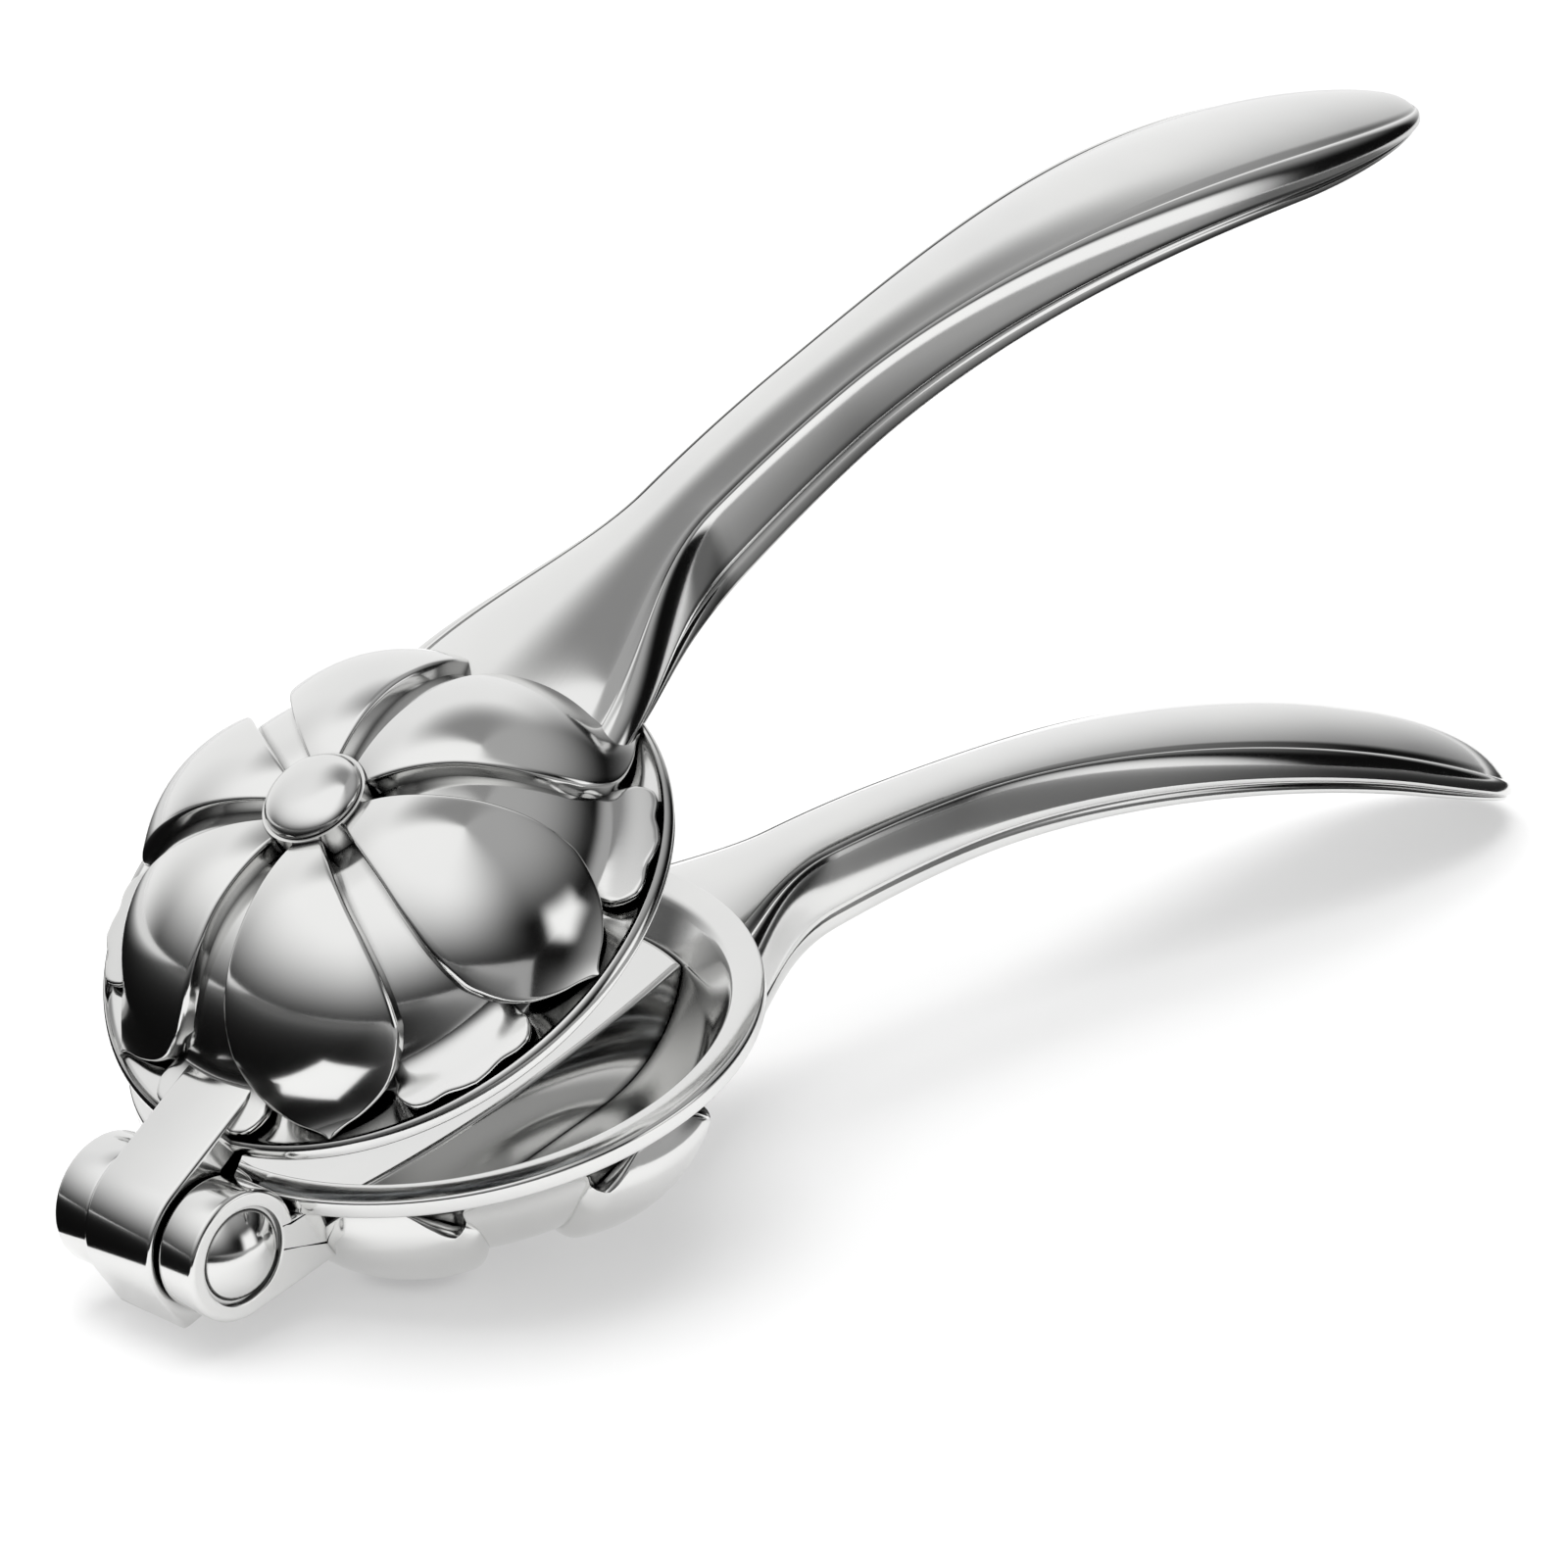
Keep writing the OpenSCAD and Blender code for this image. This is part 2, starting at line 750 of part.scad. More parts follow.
module base_rivet() {
    dish_sag = cradle_dish_r - sqrt(pow(cradle_dish_r, 2) - pow(lower_ball_x + turn_in, 2));
    color("whitesmoke")
    at_lower_bowl()
    button_rivet(lower_seat, cradle_drop + dish_sag + past + seat_gap);
}

upper_cup();
upper_handle();
hinge_tongue();
crown_rivet();
blade_hub();
long_blade();
cross_blade();
lower_bowl();
lower_handle();
near_lug();
far_lug();
hinge_pin();
nut_cradle();
base_rivet();
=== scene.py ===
import json
import math

import bmesh
import bpy
import numpy as np
from mathutils import Matrix, Vector


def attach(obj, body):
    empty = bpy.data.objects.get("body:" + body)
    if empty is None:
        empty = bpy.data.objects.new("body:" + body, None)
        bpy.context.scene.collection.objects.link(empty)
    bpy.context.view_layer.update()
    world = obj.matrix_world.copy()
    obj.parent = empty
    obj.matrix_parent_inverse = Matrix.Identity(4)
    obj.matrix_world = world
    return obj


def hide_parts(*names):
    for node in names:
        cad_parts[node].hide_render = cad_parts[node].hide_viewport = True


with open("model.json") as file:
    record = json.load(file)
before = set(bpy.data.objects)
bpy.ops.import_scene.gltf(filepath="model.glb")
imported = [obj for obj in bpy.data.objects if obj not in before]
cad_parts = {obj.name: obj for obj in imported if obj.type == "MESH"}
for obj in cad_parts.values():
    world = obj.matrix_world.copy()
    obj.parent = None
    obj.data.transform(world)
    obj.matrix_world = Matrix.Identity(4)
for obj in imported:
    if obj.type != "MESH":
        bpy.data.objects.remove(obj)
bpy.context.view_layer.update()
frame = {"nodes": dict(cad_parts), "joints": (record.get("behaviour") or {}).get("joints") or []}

MM = 0.001

# The hinge pin in the row frame, and how far the lower jaw and then the upper one are turned about it
PIN = np.array(frame["joints"][0]["pos_m"]) / MM
PITCH = 14.060
OPENING = 22.6

# Where the cups sit, measured from the pin
CUP_REACH = 30.6
UPPER_PLANE = 3.1
LOWER_PLANE = 1.9

# Sizes of the two cups, in mm, measured with the mouth down
UPPER = {
    "rim_r": 24.8, "rim_t": 1.1, "mouth_r": 21.0, "ring_r": 8.3, "ring_z": 0.0,
    "seat": 13.6, "bead": 0.22, "skirted": True, "petal_edge": 0.32,
    "tip_in": 0.75, "tip_up": 0.42,
}
LOWER = {
    "rim_r": 25.995, "rim_t": 1.6, "mouth_r": 23.4, "ring_r": 11.1, "ring_z": 0.9,
    "seat": 14.0, "bead": 0.0, "skirted": False, "petal_edge": 1.1,
    "tip_in": 1.8, "tip_up": 0.3,
}
PETALS = 6
BALL_R = 14.0
VALLEY_R = 12.0
VAULT_R = 10.3
MOUTH_H = 4.0

# The rivets through the middle of the cups
RIVET_R = 2.0
BUTTON_R = 4.1
BUTTON_H = 1.5
CROWN_TAIL = 7.1
BASE_TAIL = 5.9

# The hinge
PIN_R = 2.4
PIN_HEAD_R = 3.7
PIN_HEAD_H = 1.7
HEAD_RECESS = 0.4
LUG_R = 5.4
LUG_IN = 4.05
LUG_OUT = 8.0
TONGUE_R = 6.0
TONGUE_HALF = 3.75
HEEL = 4.4
NOTCH_R = 6.3
NOTCH_TURN = 9.2

# The handles; the lower one ends in a fuller, blunter nose
UPPER_HANDLE = {
    "length": 126.4, "droop": 42.3, "root_t": 3.3, "rise": 4.2, "paddle": 9.6, "neck_t": 9.0,
    "tip_t": 3.1, "tip_crown": 0.2, "tip_lift": 0.45, "tip_thin": 0.75,
}
LOWER_HANDLE = {
    "length": 133.8, "droop": 41.63, "root_t": 8.4, "rise": 4.1, "paddle": 10.0, "neck_t": 8.4,
    "tip_t": 2.4, "tip_crown": 0.37, "tip_lift": 0.6, "tip_thin": 0.4,
}

# Edges that meet at more than these angles stay sharp
SHARP = 40
SHARP_HANDLE = 50
SHARP_PLATE = 30

# A quarter round, the shares that close an end towards its middle, and how far off its pole a dome starts
QUARTER = np.radians([0, 22.5, 45, 67.5, 90])
CLOSING = (0.75, 0.5, 0.25, 0.05)
POLE_TURN = 0.5
# How far a rivet's head stands off its seat
HEAD_LIFT = 0.08


# Small tools

def turned(points, degrees):
    """Turns points about the pin, up at the handle side for a positive angle."""
    a = math.radians(degrees)
    x, y, z = points[..., 0], points[..., 1], points[..., 2]
    return np.stack([x * math.cos(a) - z * math.sin(a), y, x * math.sin(a) + z * math.cos(a)], axis=-1)


def lower_jaw(points):
    return turned(points, PITCH) + PIN


def upper_jaw(points):
    return turned(points, PITCH + OPENING) + PIN


def in_upper_cup(points):
    return upper_jaw(points + np.array([CUP_REACH, 0, UPPER_PLANE]))


def in_lower_bowl(points):
    return lower_jaw(points * np.array([1, 1, -1]) + np.array([CUP_REACH, 0, LOWER_PLANE]))


def placed(skin, place):
    return place(skin[0]), skin[1]


def spline(xs, ys, x):
    """A smooth curve through the points, without overshoot between them."""
    xs, ys, x = np.array(xs, float), np.array(ys, float), np.clip(x, min(xs), max(xs))
    if xs[0] > xs[-1]:
        xs, ys = xs[::-1], ys[::-1]
    steps = np.diff(xs)
    slopes = np.diff(ys) / steps
    tangents = np.zeros(len(xs))
    same = slopes[:-1] * slopes[1:] > 0
    tangents[1:-1][same] = 2 / (1 / slopes[:-1][same] + 1 / slopes[1:][same])
    tangents[0], tangents[-1] = slopes[0], slopes[-1]
    i = np.clip(np.searchsorted(xs, x) - 1, 0, len(steps) - 1)
    t = (x - xs[i]) / steps[i]
    return (
        ys[i] * (1 + 2 * t) * (1 - t) ** 2 + steps[i] * tangents[i] * t * (1 - t) ** 2
        + ys[i + 1] * t * t * (3 - 2 * t) + steps[i] * tangents[i + 1] * t * t * (t - 1)
    )


def bezier(a, b, c, d, t):
    t = np.asarray(t)[:, None]
    return a * (1 - t) ** 3 + 3 * b * t * (1 - t) ** 2 + 3 * c * t * t * (1 - t) + d * t ** 3


def ease(start, stop, u):
    """Runs smoothly from 0 at start to 1 at stop."""
    t = np.clip((u - start) / (stop - start), 0, 1)
    return t * t * (3 - 2 * t)


def arc(centre, radius, start, stop, steps):
    a = np.radians(np.linspace(start, stop, steps))
    return np.stack([centre[0] + radius * np.cos(a), centre[1] + radius * np.sin(a)], axis=-1)


def unit_tangents(line):
    tangent = np.gradient(line, axis=0)
    return tangent / np.linalg.norm(tangent, axis=1)[:, None]


def softened(points, rounds=2):
    """Rounds a closed outline's corners by cutting them a quarter of the way along each side."""
    for _ in range(rounds):
        ahead = np.roll(points, -1, axis=0)
        cut = np.stack([points * 0.75 + ahead * 0.25, points * 0.25 + ahead * 0.75], axis=1)
        points = cut.reshape(-1, points.shape[-1])
    return points


def stack(loops, closed=False):
    """A closed skin over rings of equally many points; open stacks get a middle point at both ends."""
    loops = np.array(loops, float)
    rings, count = loops.shape[:2]
    points = loops.reshape(-1, 3)
    faces = []
    for i in range(rings if closed else rings - 1):
        a, b = i * count, (i + 1) % rings * count
        faces += [(a + j, a + (j + 1) % count, b + (j + 1) % count, b + j) for j in range(count)]
    if not closed:
        points = np.concatenate([points, [loops[0].mean(axis=0)], [loops[-1].mean(axis=0)]])
        first, last = rings * count, (rings - 1) * count
        faces += [(first, (j + 1) % count, j) for j in range(count)]
        faces += [(first + 1, last + j, last + (j + 1) % count) for j in range(count)]
    return points, faces


def joined(skins):
    points, faces, base = [], [], 0
    for p, f in skins:
        points.append(p)
        faces += [tuple(k + base for k in face) for face in f]
        base += len(p)
    return np.concatenate(points), faces


def revolved(profile, turns, closed=True):
    """Turns a profile of radius and height about the cup's axis, through the given angles."""
    loops = [np.stack([r * np.cos(turns), r * np.sin(turns), 0 * turns + z], axis=-1) for r, z in profile]
    return stack(loops, closed)


def all_round(count):
    return np.linspace(0, 2 * math.pi, count, endpoint=False)


def piece(name, skin, body, slot, sharp=SHARP):
    """Makes an object of a closed skin in the row frame in mm, and hides the CAD node of the same name, which
    it takes the place of.
    """
    points, faces = skin
    mesh = bpy.data.meshes.new(name)
    mesh.from_pydata((points * MM).tolist(), [], faces)
    work = bmesh.new()
    work.from_mesh(mesh)
    bmesh.ops.recalc_face_normals(work, faces=work.faces)
    work.to_mesh(mesh)
    work.free()
    mesh.polygons.foreach_set("use_smooth", [True] * len(mesh.polygons))
    mesh.set_sharp_from_angle(angle=math.radians(sharp))
    mesh.materials.append(FINISHES[slot])
    obj = bpy.data.objects.new(name, mesh)
    bpy.context.scene.collection.objects.link(obj)
    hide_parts(name)
    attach(obj, body)


# Materials

def linear(code):
    """A display colour such as 8a8a8a, as the linear numbers that a shader takes."""
    parts = [int(code[i:i + 2], 16) / 255 for i in (0, 2, 4)]
    return [c / 12.92 if c <= 0.04045 else ((c + 0.055) / 1.055) ** 2.4 for c in parts] + [1]


def add(tree, kind, settings=None, out=0, **inputs):
    """Adds a node with settings, and constants or links on its inputs, and gives back one of its outputs."""
    made = tree.nodes.new(kind)
    for key, value in (settings or {}).items():
        setattr(made, key, value)
    for key, value in inputs.items():
        by_place = key[0] == "i" and key[1:].isdigit()
        socket = made.inputs[int(key[1:]) if by_place else key.replace("_", " ")]
        if isinstance(value, bpy.types.NodeSocket):
            tree.links.new(value, socket)
        else:
            socket.default_value = value
    return made.outputs[out] if len(made.outputs) else None


def blank_material(name):
    material = bpy.data.materials.new(name)
    material.use_nodes = True
    material.node_tree.nodes.clear()
    return material, material.node_tree


# Settings of nodes, by what they do
SCALE = {"operation": "SCALE"}
MULTIPLY = {"operation": "MULTIPLY"}
MULTIPLY_ADD = {"operation": "MULTIPLY_ADD"}
MAXIMUM = {"operation": "MAXIMUM"}
DOT_PRODUCT = {"operation": "DOT_PRODUCT"}
NORMALIZE = {"operation": "NORMALIZE"}
COLOURS = {"data_type": "RGBA"}
COLOUR_OUT = 2
SMOOTH = {"interpolation_type": "SMOOTHSTEP"}

# The slow drift of colour and gloss over a piece, in mm, and how fine the two noises are
DRIFT_MM = 14
DRIFT_DETAIL, GRAIN_DETAIL = 3.0, 4.0
# Painted shade in creases: creases up to about this wide are darkened, from this openness to that one, by
# this much towards black
CREASE_MM = 1.3
CREASE_FROM, CREASE_TO, CREASE_SHADE = 0.75, 0.3, 0.85
PAINTED_SHADE_BLACK = "101010"
CREASE_SAMPLES = 8
# The share of each noise in the gloss, and the part of their sum in which it goes from smooth to dull
NOISE_SHARE = 0.5
GLOSS_FROM, GLOSS_TO = 0.3, 0.7


def metal(name, light, dark, smooth, dull, grain_mm, stretch, bump_mm):
    """Metal whose colour and gloss drift a little, with fine marks along the grain and painted shade that
    darkens its creases.
    """
    material, tree = blank_material(name)
    place = add(tree, "ShaderNodeTexCoord", out="Object")
    in_mm = add(tree, "ShaderNodeVectorMath", SCALE, i0=place, Scale=1 / MM)
    drift = add(tree, "ShaderNodeTexNoise", Vector=in_mm, Scale=1 / DRIFT_MM, Detail=DRIFT_DETAIL)
    along = add(tree, "ShaderNodeVectorMath", MULTIPLY, i0=in_mm, i1=stretch)
    grain = add(tree, "ShaderNodeTexNoise", Vector=along, Scale=1 / grain_mm, Detail=GRAIN_DETAIL)
    clean = add(tree, "ShaderNodeMix", COLOURS, COLOUR_OUT, Factor=drift, i6=linear(dark), i7=linear(light))
    # Painted shade: an occlusion node darkens the colour towards black in creases and narrow hollows
    openness = add(
        tree, "ShaderNodeAmbientOcclusion", {"samples": CREASE_SAMPLES}, "AO", Distance=CREASE_MM * MM)
    painted_crease_shade = add(
        tree, "ShaderNodeMapRange", Value=openness, i1=CREASE_FROM, i2=CREASE_TO, i3=0.0, i4=CREASE_SHADE)
    colour_with_painted_shade = add(
        tree, "ShaderNodeMix", COLOURS, COLOUR_OUT, Factor=painted_crease_shade, i6=clean, i7=linear(PAINTED_SHADE_BLACK))
    worn = add(tree, "ShaderNodeMath", MULTIPLY, i0=grain, i1=NOISE_SHARE)
    share = add(tree, "ShaderNodeMath", MULTIPLY_ADD, i0=drift, i1=NOISE_SHARE, i2=worn)
    rough = add(tree, "ShaderNodeMapRange", Value=share, i1=GLOSS_FROM, i2=GLOSS_TO, i3=smooth, i4=dull)
    relief = add(tree, "ShaderNodeBump", Strength=1.0, Distance=bump_mm * MM, Height=grain)
    surface = add(
        tree, "ShaderNodeBsdfPrincipled", Base_Color=colour_with_painted_shade, Metallic=1.0, Roughness=rough, Normal=relief)
    add(tree, "ShaderNodeOutputMaterial", Surface=surface)
    return material


# A chromed and buffed casting mirrors the light in soft-edged black and white
CASTING = metal(
    "buffed_chrome_casting", "e8e8e6", "dadada",
    smooth=0.08, dull=0.13, grain_mm=9.0, stretch=(1, 1, 1), bump_mm=0.004)
# Turned rivet heads mirror it a touch more softly
RIVET = metal(
    "polished_rivet_steel", "e8e8e6", "dadada",
    smooth=0.1, dull=0.16, grain_mm=6.0, stretch=(1, 1, 1), bump_mm=0.002)
# Ground blades carry fine lines along the tool, drawn coarser than real ones so that they show
BLADE = metal(
    "ground_blade_steel", "c2c4c6", "a9abad",
    smooth=0.2, dull=0.32, grain_mm=0.35, stretch=(0.04, 1, 1), bump_mm=0.004)
FINISHES = {"polished_casting": CASTING, "rivet_steel": RIVET, "blade_steel": BLADE}


# The petals

# Half the width of a petal, against the angle about its ball, from the button to the point
PETAL_TURN = [107, 95, 80, 65, 50, 40, 33, 25, 20, 15, 11, 7, 4, 1, -2, -4]
PETAL_HALF = [1.35, 2.7, 4.3, 5.8, 6.8, 7.1, 7.15, 6.75, 6.3, 5.6, 4.75, 3.6, 2.6, 1.4, 0.5, 0.08]
# Its thickness, against the same angle
DEPTH_TURN = [-4, 8, 30, 110]
PETAL_DEPTH = [0.42, 0.9, 1.9, 1.9]
# Where a petal leaves its ball, and how its foot leaves the ball and lands on the rim
FLARE_TURN = 22
PETAL_LEAVES, PETAL_LANDS = 1.7, 1.3
PETAL_SLOPE = np.array([0.9, -0.44])
PETAL_STEPS, FOOT_STEPS, PETAL_ACROSS = 46, 35, 33
# An edge's round takes up at most this share of a plate, and its side starts this far down
EDGE_STEPS = 5
EDGE_SHARE = 0.6
SIDE_SHARE = 0.15


def across(half, depth, edge, steps):
    """Positions across a plate with rounded edges, as distance from the middle and depth below the top."""
    edge = min(edge, EDGE_SHARE * half, EDGE_SHARE * depth)
    a = np.radians(np.linspace(0, 90, EDGE_STEPS + 1)[1:])
    top = np.linspace(-1, 1, steps) * (half - edge)
    side = np.concatenate([half - edge + edge * np.sin(a), [half, half]])
    down = np.concatenate([edge * (1 - np.cos(a)), [edge + SIDE_SHARE * (depth - edge), depth]])
    under = np.linspace(1, -1, steps)[1:-1] * half
    place = np.concatenate([top, side, under, -side[::-1]])
    below = np.concatenate([0 * top, down, depth + 0 * under, down[::-1]])
    return place, below


def petal(cup):
    """A leaf of a ball, broad below, whose foot turns out to a point on the rim."""
    ring = np.array([cup["ring_r"], cup["ring_z"]])
    turn = np.linspace(PETAL_TURN[0], FLARE_TURN, PETAL_STEPS)
    a = np.radians(turn)
    ball = ring + BALL_R * np.stack([np.cos(a), np.sin(a)], axis=-1)
    leave = np.array([math.sin(a[-1]), -math.cos(a[-1])])
    tip = np.array([cup["rim_r"] - cup["tip_in"], cup["rim_t"] + cup["tip_up"]])
    t = np.linspace(0, 1, FOOT_STEPS)[1:]
    foot = bezier(ball[-1], ball[-1] + PETAL_LEAVES * leave, tip - PETAL_LANDS * PETAL_SLOPE, tip, t)
    line = np.concatenate([ball, foot])
    turn = np.concatenate([turn, FLARE_TURN + (PETAL_TURN[-1] - FLARE_TURN) * t])
    half = spline(PETAL_TURN, PETAL_HALF, turn)
    depth = spline(DEPTH_TURN, PETAL_DEPTH, turn)
    tangent = unit_tangents(line)
    normal = np.stack([-tangent[:, 1], tangent[:, 0]], axis=-1)
    loops = []
    for m, n, w, d in zip(line, normal, half, depth):
        y, below = across(w, d, cup["petal_edge"], PETAL_ACROSS)
        drop = np.sqrt(BALL_R ** 2 - y * y) - BALL_R - below
        loops.append(np.stack([m[0] + drop * n[0], y, m[1] + drop * n[1]], axis=-1))
    return stack(loops)


# The walls and leaves between the petals

# Where the wall between the petals leaves its round to flare out, and how it leaves and lands
LEAVE_TURN = 20
WALL_LEAVES, WALL_LANDS = 2.0, 2.2
BUTTON_LAP = 0.2
WALL_STEPS, FLARE_STEPS = 36, 33
# A leaf's foot: half its width, its thickness, and how far in from the rim it ends across its width
LEAF_HALF = 6.4
LEAF_T = 0.75
LEAF_FOOT_Y = [0, 1.0, 2.6, 4.0, 5.0, 5.7, 6.2, 6.4]
LEAF_FOOT_IN = [0.65, 0.8, 1.15, 1.0, 1.15, 1.7, 2.4, 2.9]
# The leaf's point: how far in from the rim, how far above it, and its slope there
LEAF_TIP_IN, LEAF_TIP_UP = 0.65, 1.1
LEAF_SLOPE = (0.985, -0.17)
# The rounds along a leaf's sides and at its end
LEAF_EDGE, LEAF_ACROSS = 0.26, 41
LEAF_END_R, LEAF_END_TURNS = 0.3, (25, 50, 70, 85)


def valley(cup, foot, slope):
    """The line of the wall between two petals, from the button to its flared foot."""
    ring = np.array([cup["ring_r"], cup["ring_z"]])
    start = math.degrees(math.acos((BUTTON_R - BUTTON_LAP - ring[0]) / VALLEY_R))
    dome = arc(ring, VALLEY_R, start, LEAVE_TURN, WALL_STEPS)
    leave = np.array([math.sin(math.radians(LEAVE_TURN)), -math.cos(math.radians(LEAVE_TURN))])
    foot, slope = np.array(foot), np.array(slope)
    t = np.linspace(0, 1, FLARE_STEPS)[1:]
    flare = bezier(dome[-1], dome[-1] + WALL_LEAVES * leave, foot - WALL_LANDS * slope, foot, t)
    return np.concatenate([dome, flare])


def leaf(cup):
    """The sheet between two petals, flared into a skirt with a middle point and two round corners."""
    line = valley(cup, (cup["rim_r"] - LEAF_TIP_IN, cup["rim_t"] + LEAF_TIP_UP), LEAF_SLOPE)
    reach = np.concatenate([[0], np.cumsum(np.linalg.norm(np.diff(line, axis=0), axis=1))])
    tangent = unit_tangents(line)

    def at_length(table, length):
        return np.stack([np.interp(length, reach, table[:, i]) for i in (0, 1)], axis=-1)

    # How far down each line of the sheet runs, by its place across the foot
    y, below = across(LEAF_HALF, LEAF_T, LEAF_EDGE, LEAF_ACROSS)
    foot_r = cup["rim_r"] - spline(LEAF_FOOT_Y, LEAF_FOOT_IN, np.abs(y))
    length = np.interp(foot_r, line[:, 0], reach)
    share = reach / reach[-1]
    stations = [(u, 0.0, 0.0) for u in share]
    for c in np.radians(LEAF_END_TURNS):
        stations.append((1.0, LEAF_END_R * math.sin(c), LEAF_END_R * (1 - math.cos(c))))
    angle = y / (cup["rim_r"] - LEAF_TIP_IN)
    loops = []
    for u, ahead, thin in stations:
        at, way = at_length(line, u * length), at_length(tangent, u * length)
        deep = thin + below * (LEAF_T - 2 * thin) / LEAF_T
        r = at[:, 0] + ahead * way[:, 0] + deep * way[:, 1]
        z = at[:, 1] + ahead * way[:, 1] - deep * way[:, 0]
        loops.append(np.stack([r * np.cos(angle), r * np.sin(angle), z], axis=-1))
    return stack(loops)


# The turned form behind the petals

# A skirted cup's plain dome lies this far under the leaves and runs down to this angle
DOME_UNDER, DOME_STOP = 0.8, 24
DOME_STEPS, GROOVE_STEPS, MOUTH_STEPS, TURN_STEPS = 26, 16, 8, 180
# The groove under its leaves: where the wall is measured, how thick it is there, and where the groove starts
GROOVE_AT, GROOVE_WALL, GROOVE_UP = 0.8, 1.2, 0.75
# Its curve is drawn out from the groove above the rim's top, then in from the rim's edge and below its top
GROOVE_TURN = (0.15, 0.1)
GROOVE_DISH = (2.2, 0.08)
# Where the outer line meets the rim: in from its edge, above it, and a plain bowl's slope there
BEAD_IN, BEAD_UP = 0.75, 0.1
BOWL_SLOPE = (0.8, -0.6)
# The rim's top, as distance in from its edge, height above its top and share of the bead's height
RIM_TOP = [(0.62, 0.1, 0.5), (0.45, 0.1, 1.0), (0.25, 0.0, 1.0), (0.09, -0.1, 0.0), (0.0, -0.3, 0.0)]
# The rim's foot, as distance in from its edge and height above the mouth
RIM_FOOT = [(0.0, 0.32), (0.04, 0.16), (0.15, 0.04), (0.32, 0.0)]
# The mouth's lip, as distance out from its radius and height; then the slope starts, and meets the vault
MOUTH_LIP = [(0.3, 0.0), (0.1, 0.06), (-0.12, 0.25)]
MOUTH_FROM, MOUTH_JOIN = 0.45, 0.3
# Gaps round the rivet's shank and its button, and from the button to where a plain bowl's wall starts
SHANK_GAP, BUTTON_GAP, WALL_GAP = 0.05, 0.3, 0.32
# Each side of the notch falls away over twice this angle about the cup's axis
NOTCH_SIDE = 0.02


def mouth_slope(cup):
    inside = cup["ring_r"] + math.sqrt(VAULT_R ** 2 - (MOUTH_H - cup["ring_z"]) ** 2)
    return (cup["mouth_r"] - inside) / MOUTH_H


def hollow_r(cup, z):
    """Radius of the hollow at a height above the mouth."""
    vault = cup["ring_r"] + np.sqrt(np.maximum(0, VAULT_R ** 2 - (z - cup["ring_z"]) ** 2))
    return np.where(z < MOUTH_H, cup["mouth_r"] - mouth_slope(cup) * z, vault)


def outer_line(cup):
    """The outside of the turned form, from the button to the rim's bead."""
    rim_r, rim_t = cup["rim_r"], cup["rim_t"]
    bead = np.array([rim_r - BEAD_IN, rim_t + BEAD_UP])
    if not cup["skirted"]:
        line = valley(cup, bead, BOWL_SLOPE)
        return line[line[:, 0] > BUTTON_R + WALL_GAP]
    # The leaves hide a plain dome, and under their feet a groove runs out into a dished band
    dome = arc((cup["ring_r"], cup["ring_z"]), VALLEY_R - DOME_UNDER, 90, DOME_STOP, DOME_STEPS)
    groove_r = hollow_r(cup, rim_t + GROOVE_AT) + GROOVE_WALL
    groove = bezier(
        np.array([groove_r, rim_t + GROOVE_UP]),
        np.array([groove_r + GROOVE_TURN[0], rim_t + GROOVE_TURN[1]]),
        np.array([rim_r - GROOVE_DISH[0], rim_t - GROOVE_DISH[1]]),
        bead, np.linspace(0, 1, GROOVE_STEPS))
    return np.concatenate([dome, groove])


def cup_body(cup):
    """The turned form: dome, foot, rim bead, mouth and vault, with a notch in the bowl's rim."""
    rim_r, rim_t, mouth_r = cup["rim_r"], cup["rim_t"], cup["mouth_r"]
    ring_r, ring_z = cup["ring_r"], cup["ring_z"]
    slope = mouth_slope(cup)
    outer = outer_line(cup).tolist()
    rim = [[rim_r - inward, rim_t + up + share * cup["bead"]] for inward, up, share in RIM_TOP]
    rim += [[rim_r - inward, z] for inward, z in RIM_FOOT]
    mouth = [[mouth_r + out, z] for out, z in MOUTH_LIP]
    mouth += [[mouth_r - slope * z, z] for z in np.linspace(MOUTH_FROM, MOUTH_H - MOUTH_JOIN, MOUTH_STEPS)]
    start = math.degrees(math.asin((MOUTH_H + MOUTH_JOIN - ring_z) / VAULT_R))
    vault = arc((ring_r, ring_z), VAULT_R, start, 90, DOME_STEPS).tolist()
    shank_r, seat_r = RIVET_R + SHANK_GAP, BUTTON_R + BUTTON_GAP
    vault.append([shank_r, ring_z + VAULT_R])
    seat = [[shank_r, cup["seat"]], [seat_r, cup["seat"]], [seat_r, outer[0][1]]]
    profile = [*seat, *outer, *rim, *mouth, *vault]
    turns = np.linspace(-180, 180, TURN_STEPS, endpoint=False)
    if cup["skirted"]:
        return revolved(profile, np.radians(turns))
    # The bowl's rim is notched round the tongue's knuckle
    notch = [side * NOTCH_TURN + step for side in (1, -1) for step in (-NOTCH_SIDE, NOTCH_SIDE)]
    turns = np.sort(np.concatenate([turns + 1, notch]))
    points, faces = revolved(profile, np.radians(turns + 180))
    limit = -CUP_REACH + np.sqrt(np.maximum(NOTCH_R ** 2 - (points[:, 2] - LOWER_PLANE) ** 2, 0))
    from_hinge = np.degrees(np.arctan2(points[:, 1], -points[:, 0]))
    near = np.abs(from_hinge) < NOTCH_TURN
    points[:, 0] = np.where(near, np.maximum(points[:, 0], limit), points[:, 0])
    return points, faces


# The cups, with petals and leaves copied round their axis

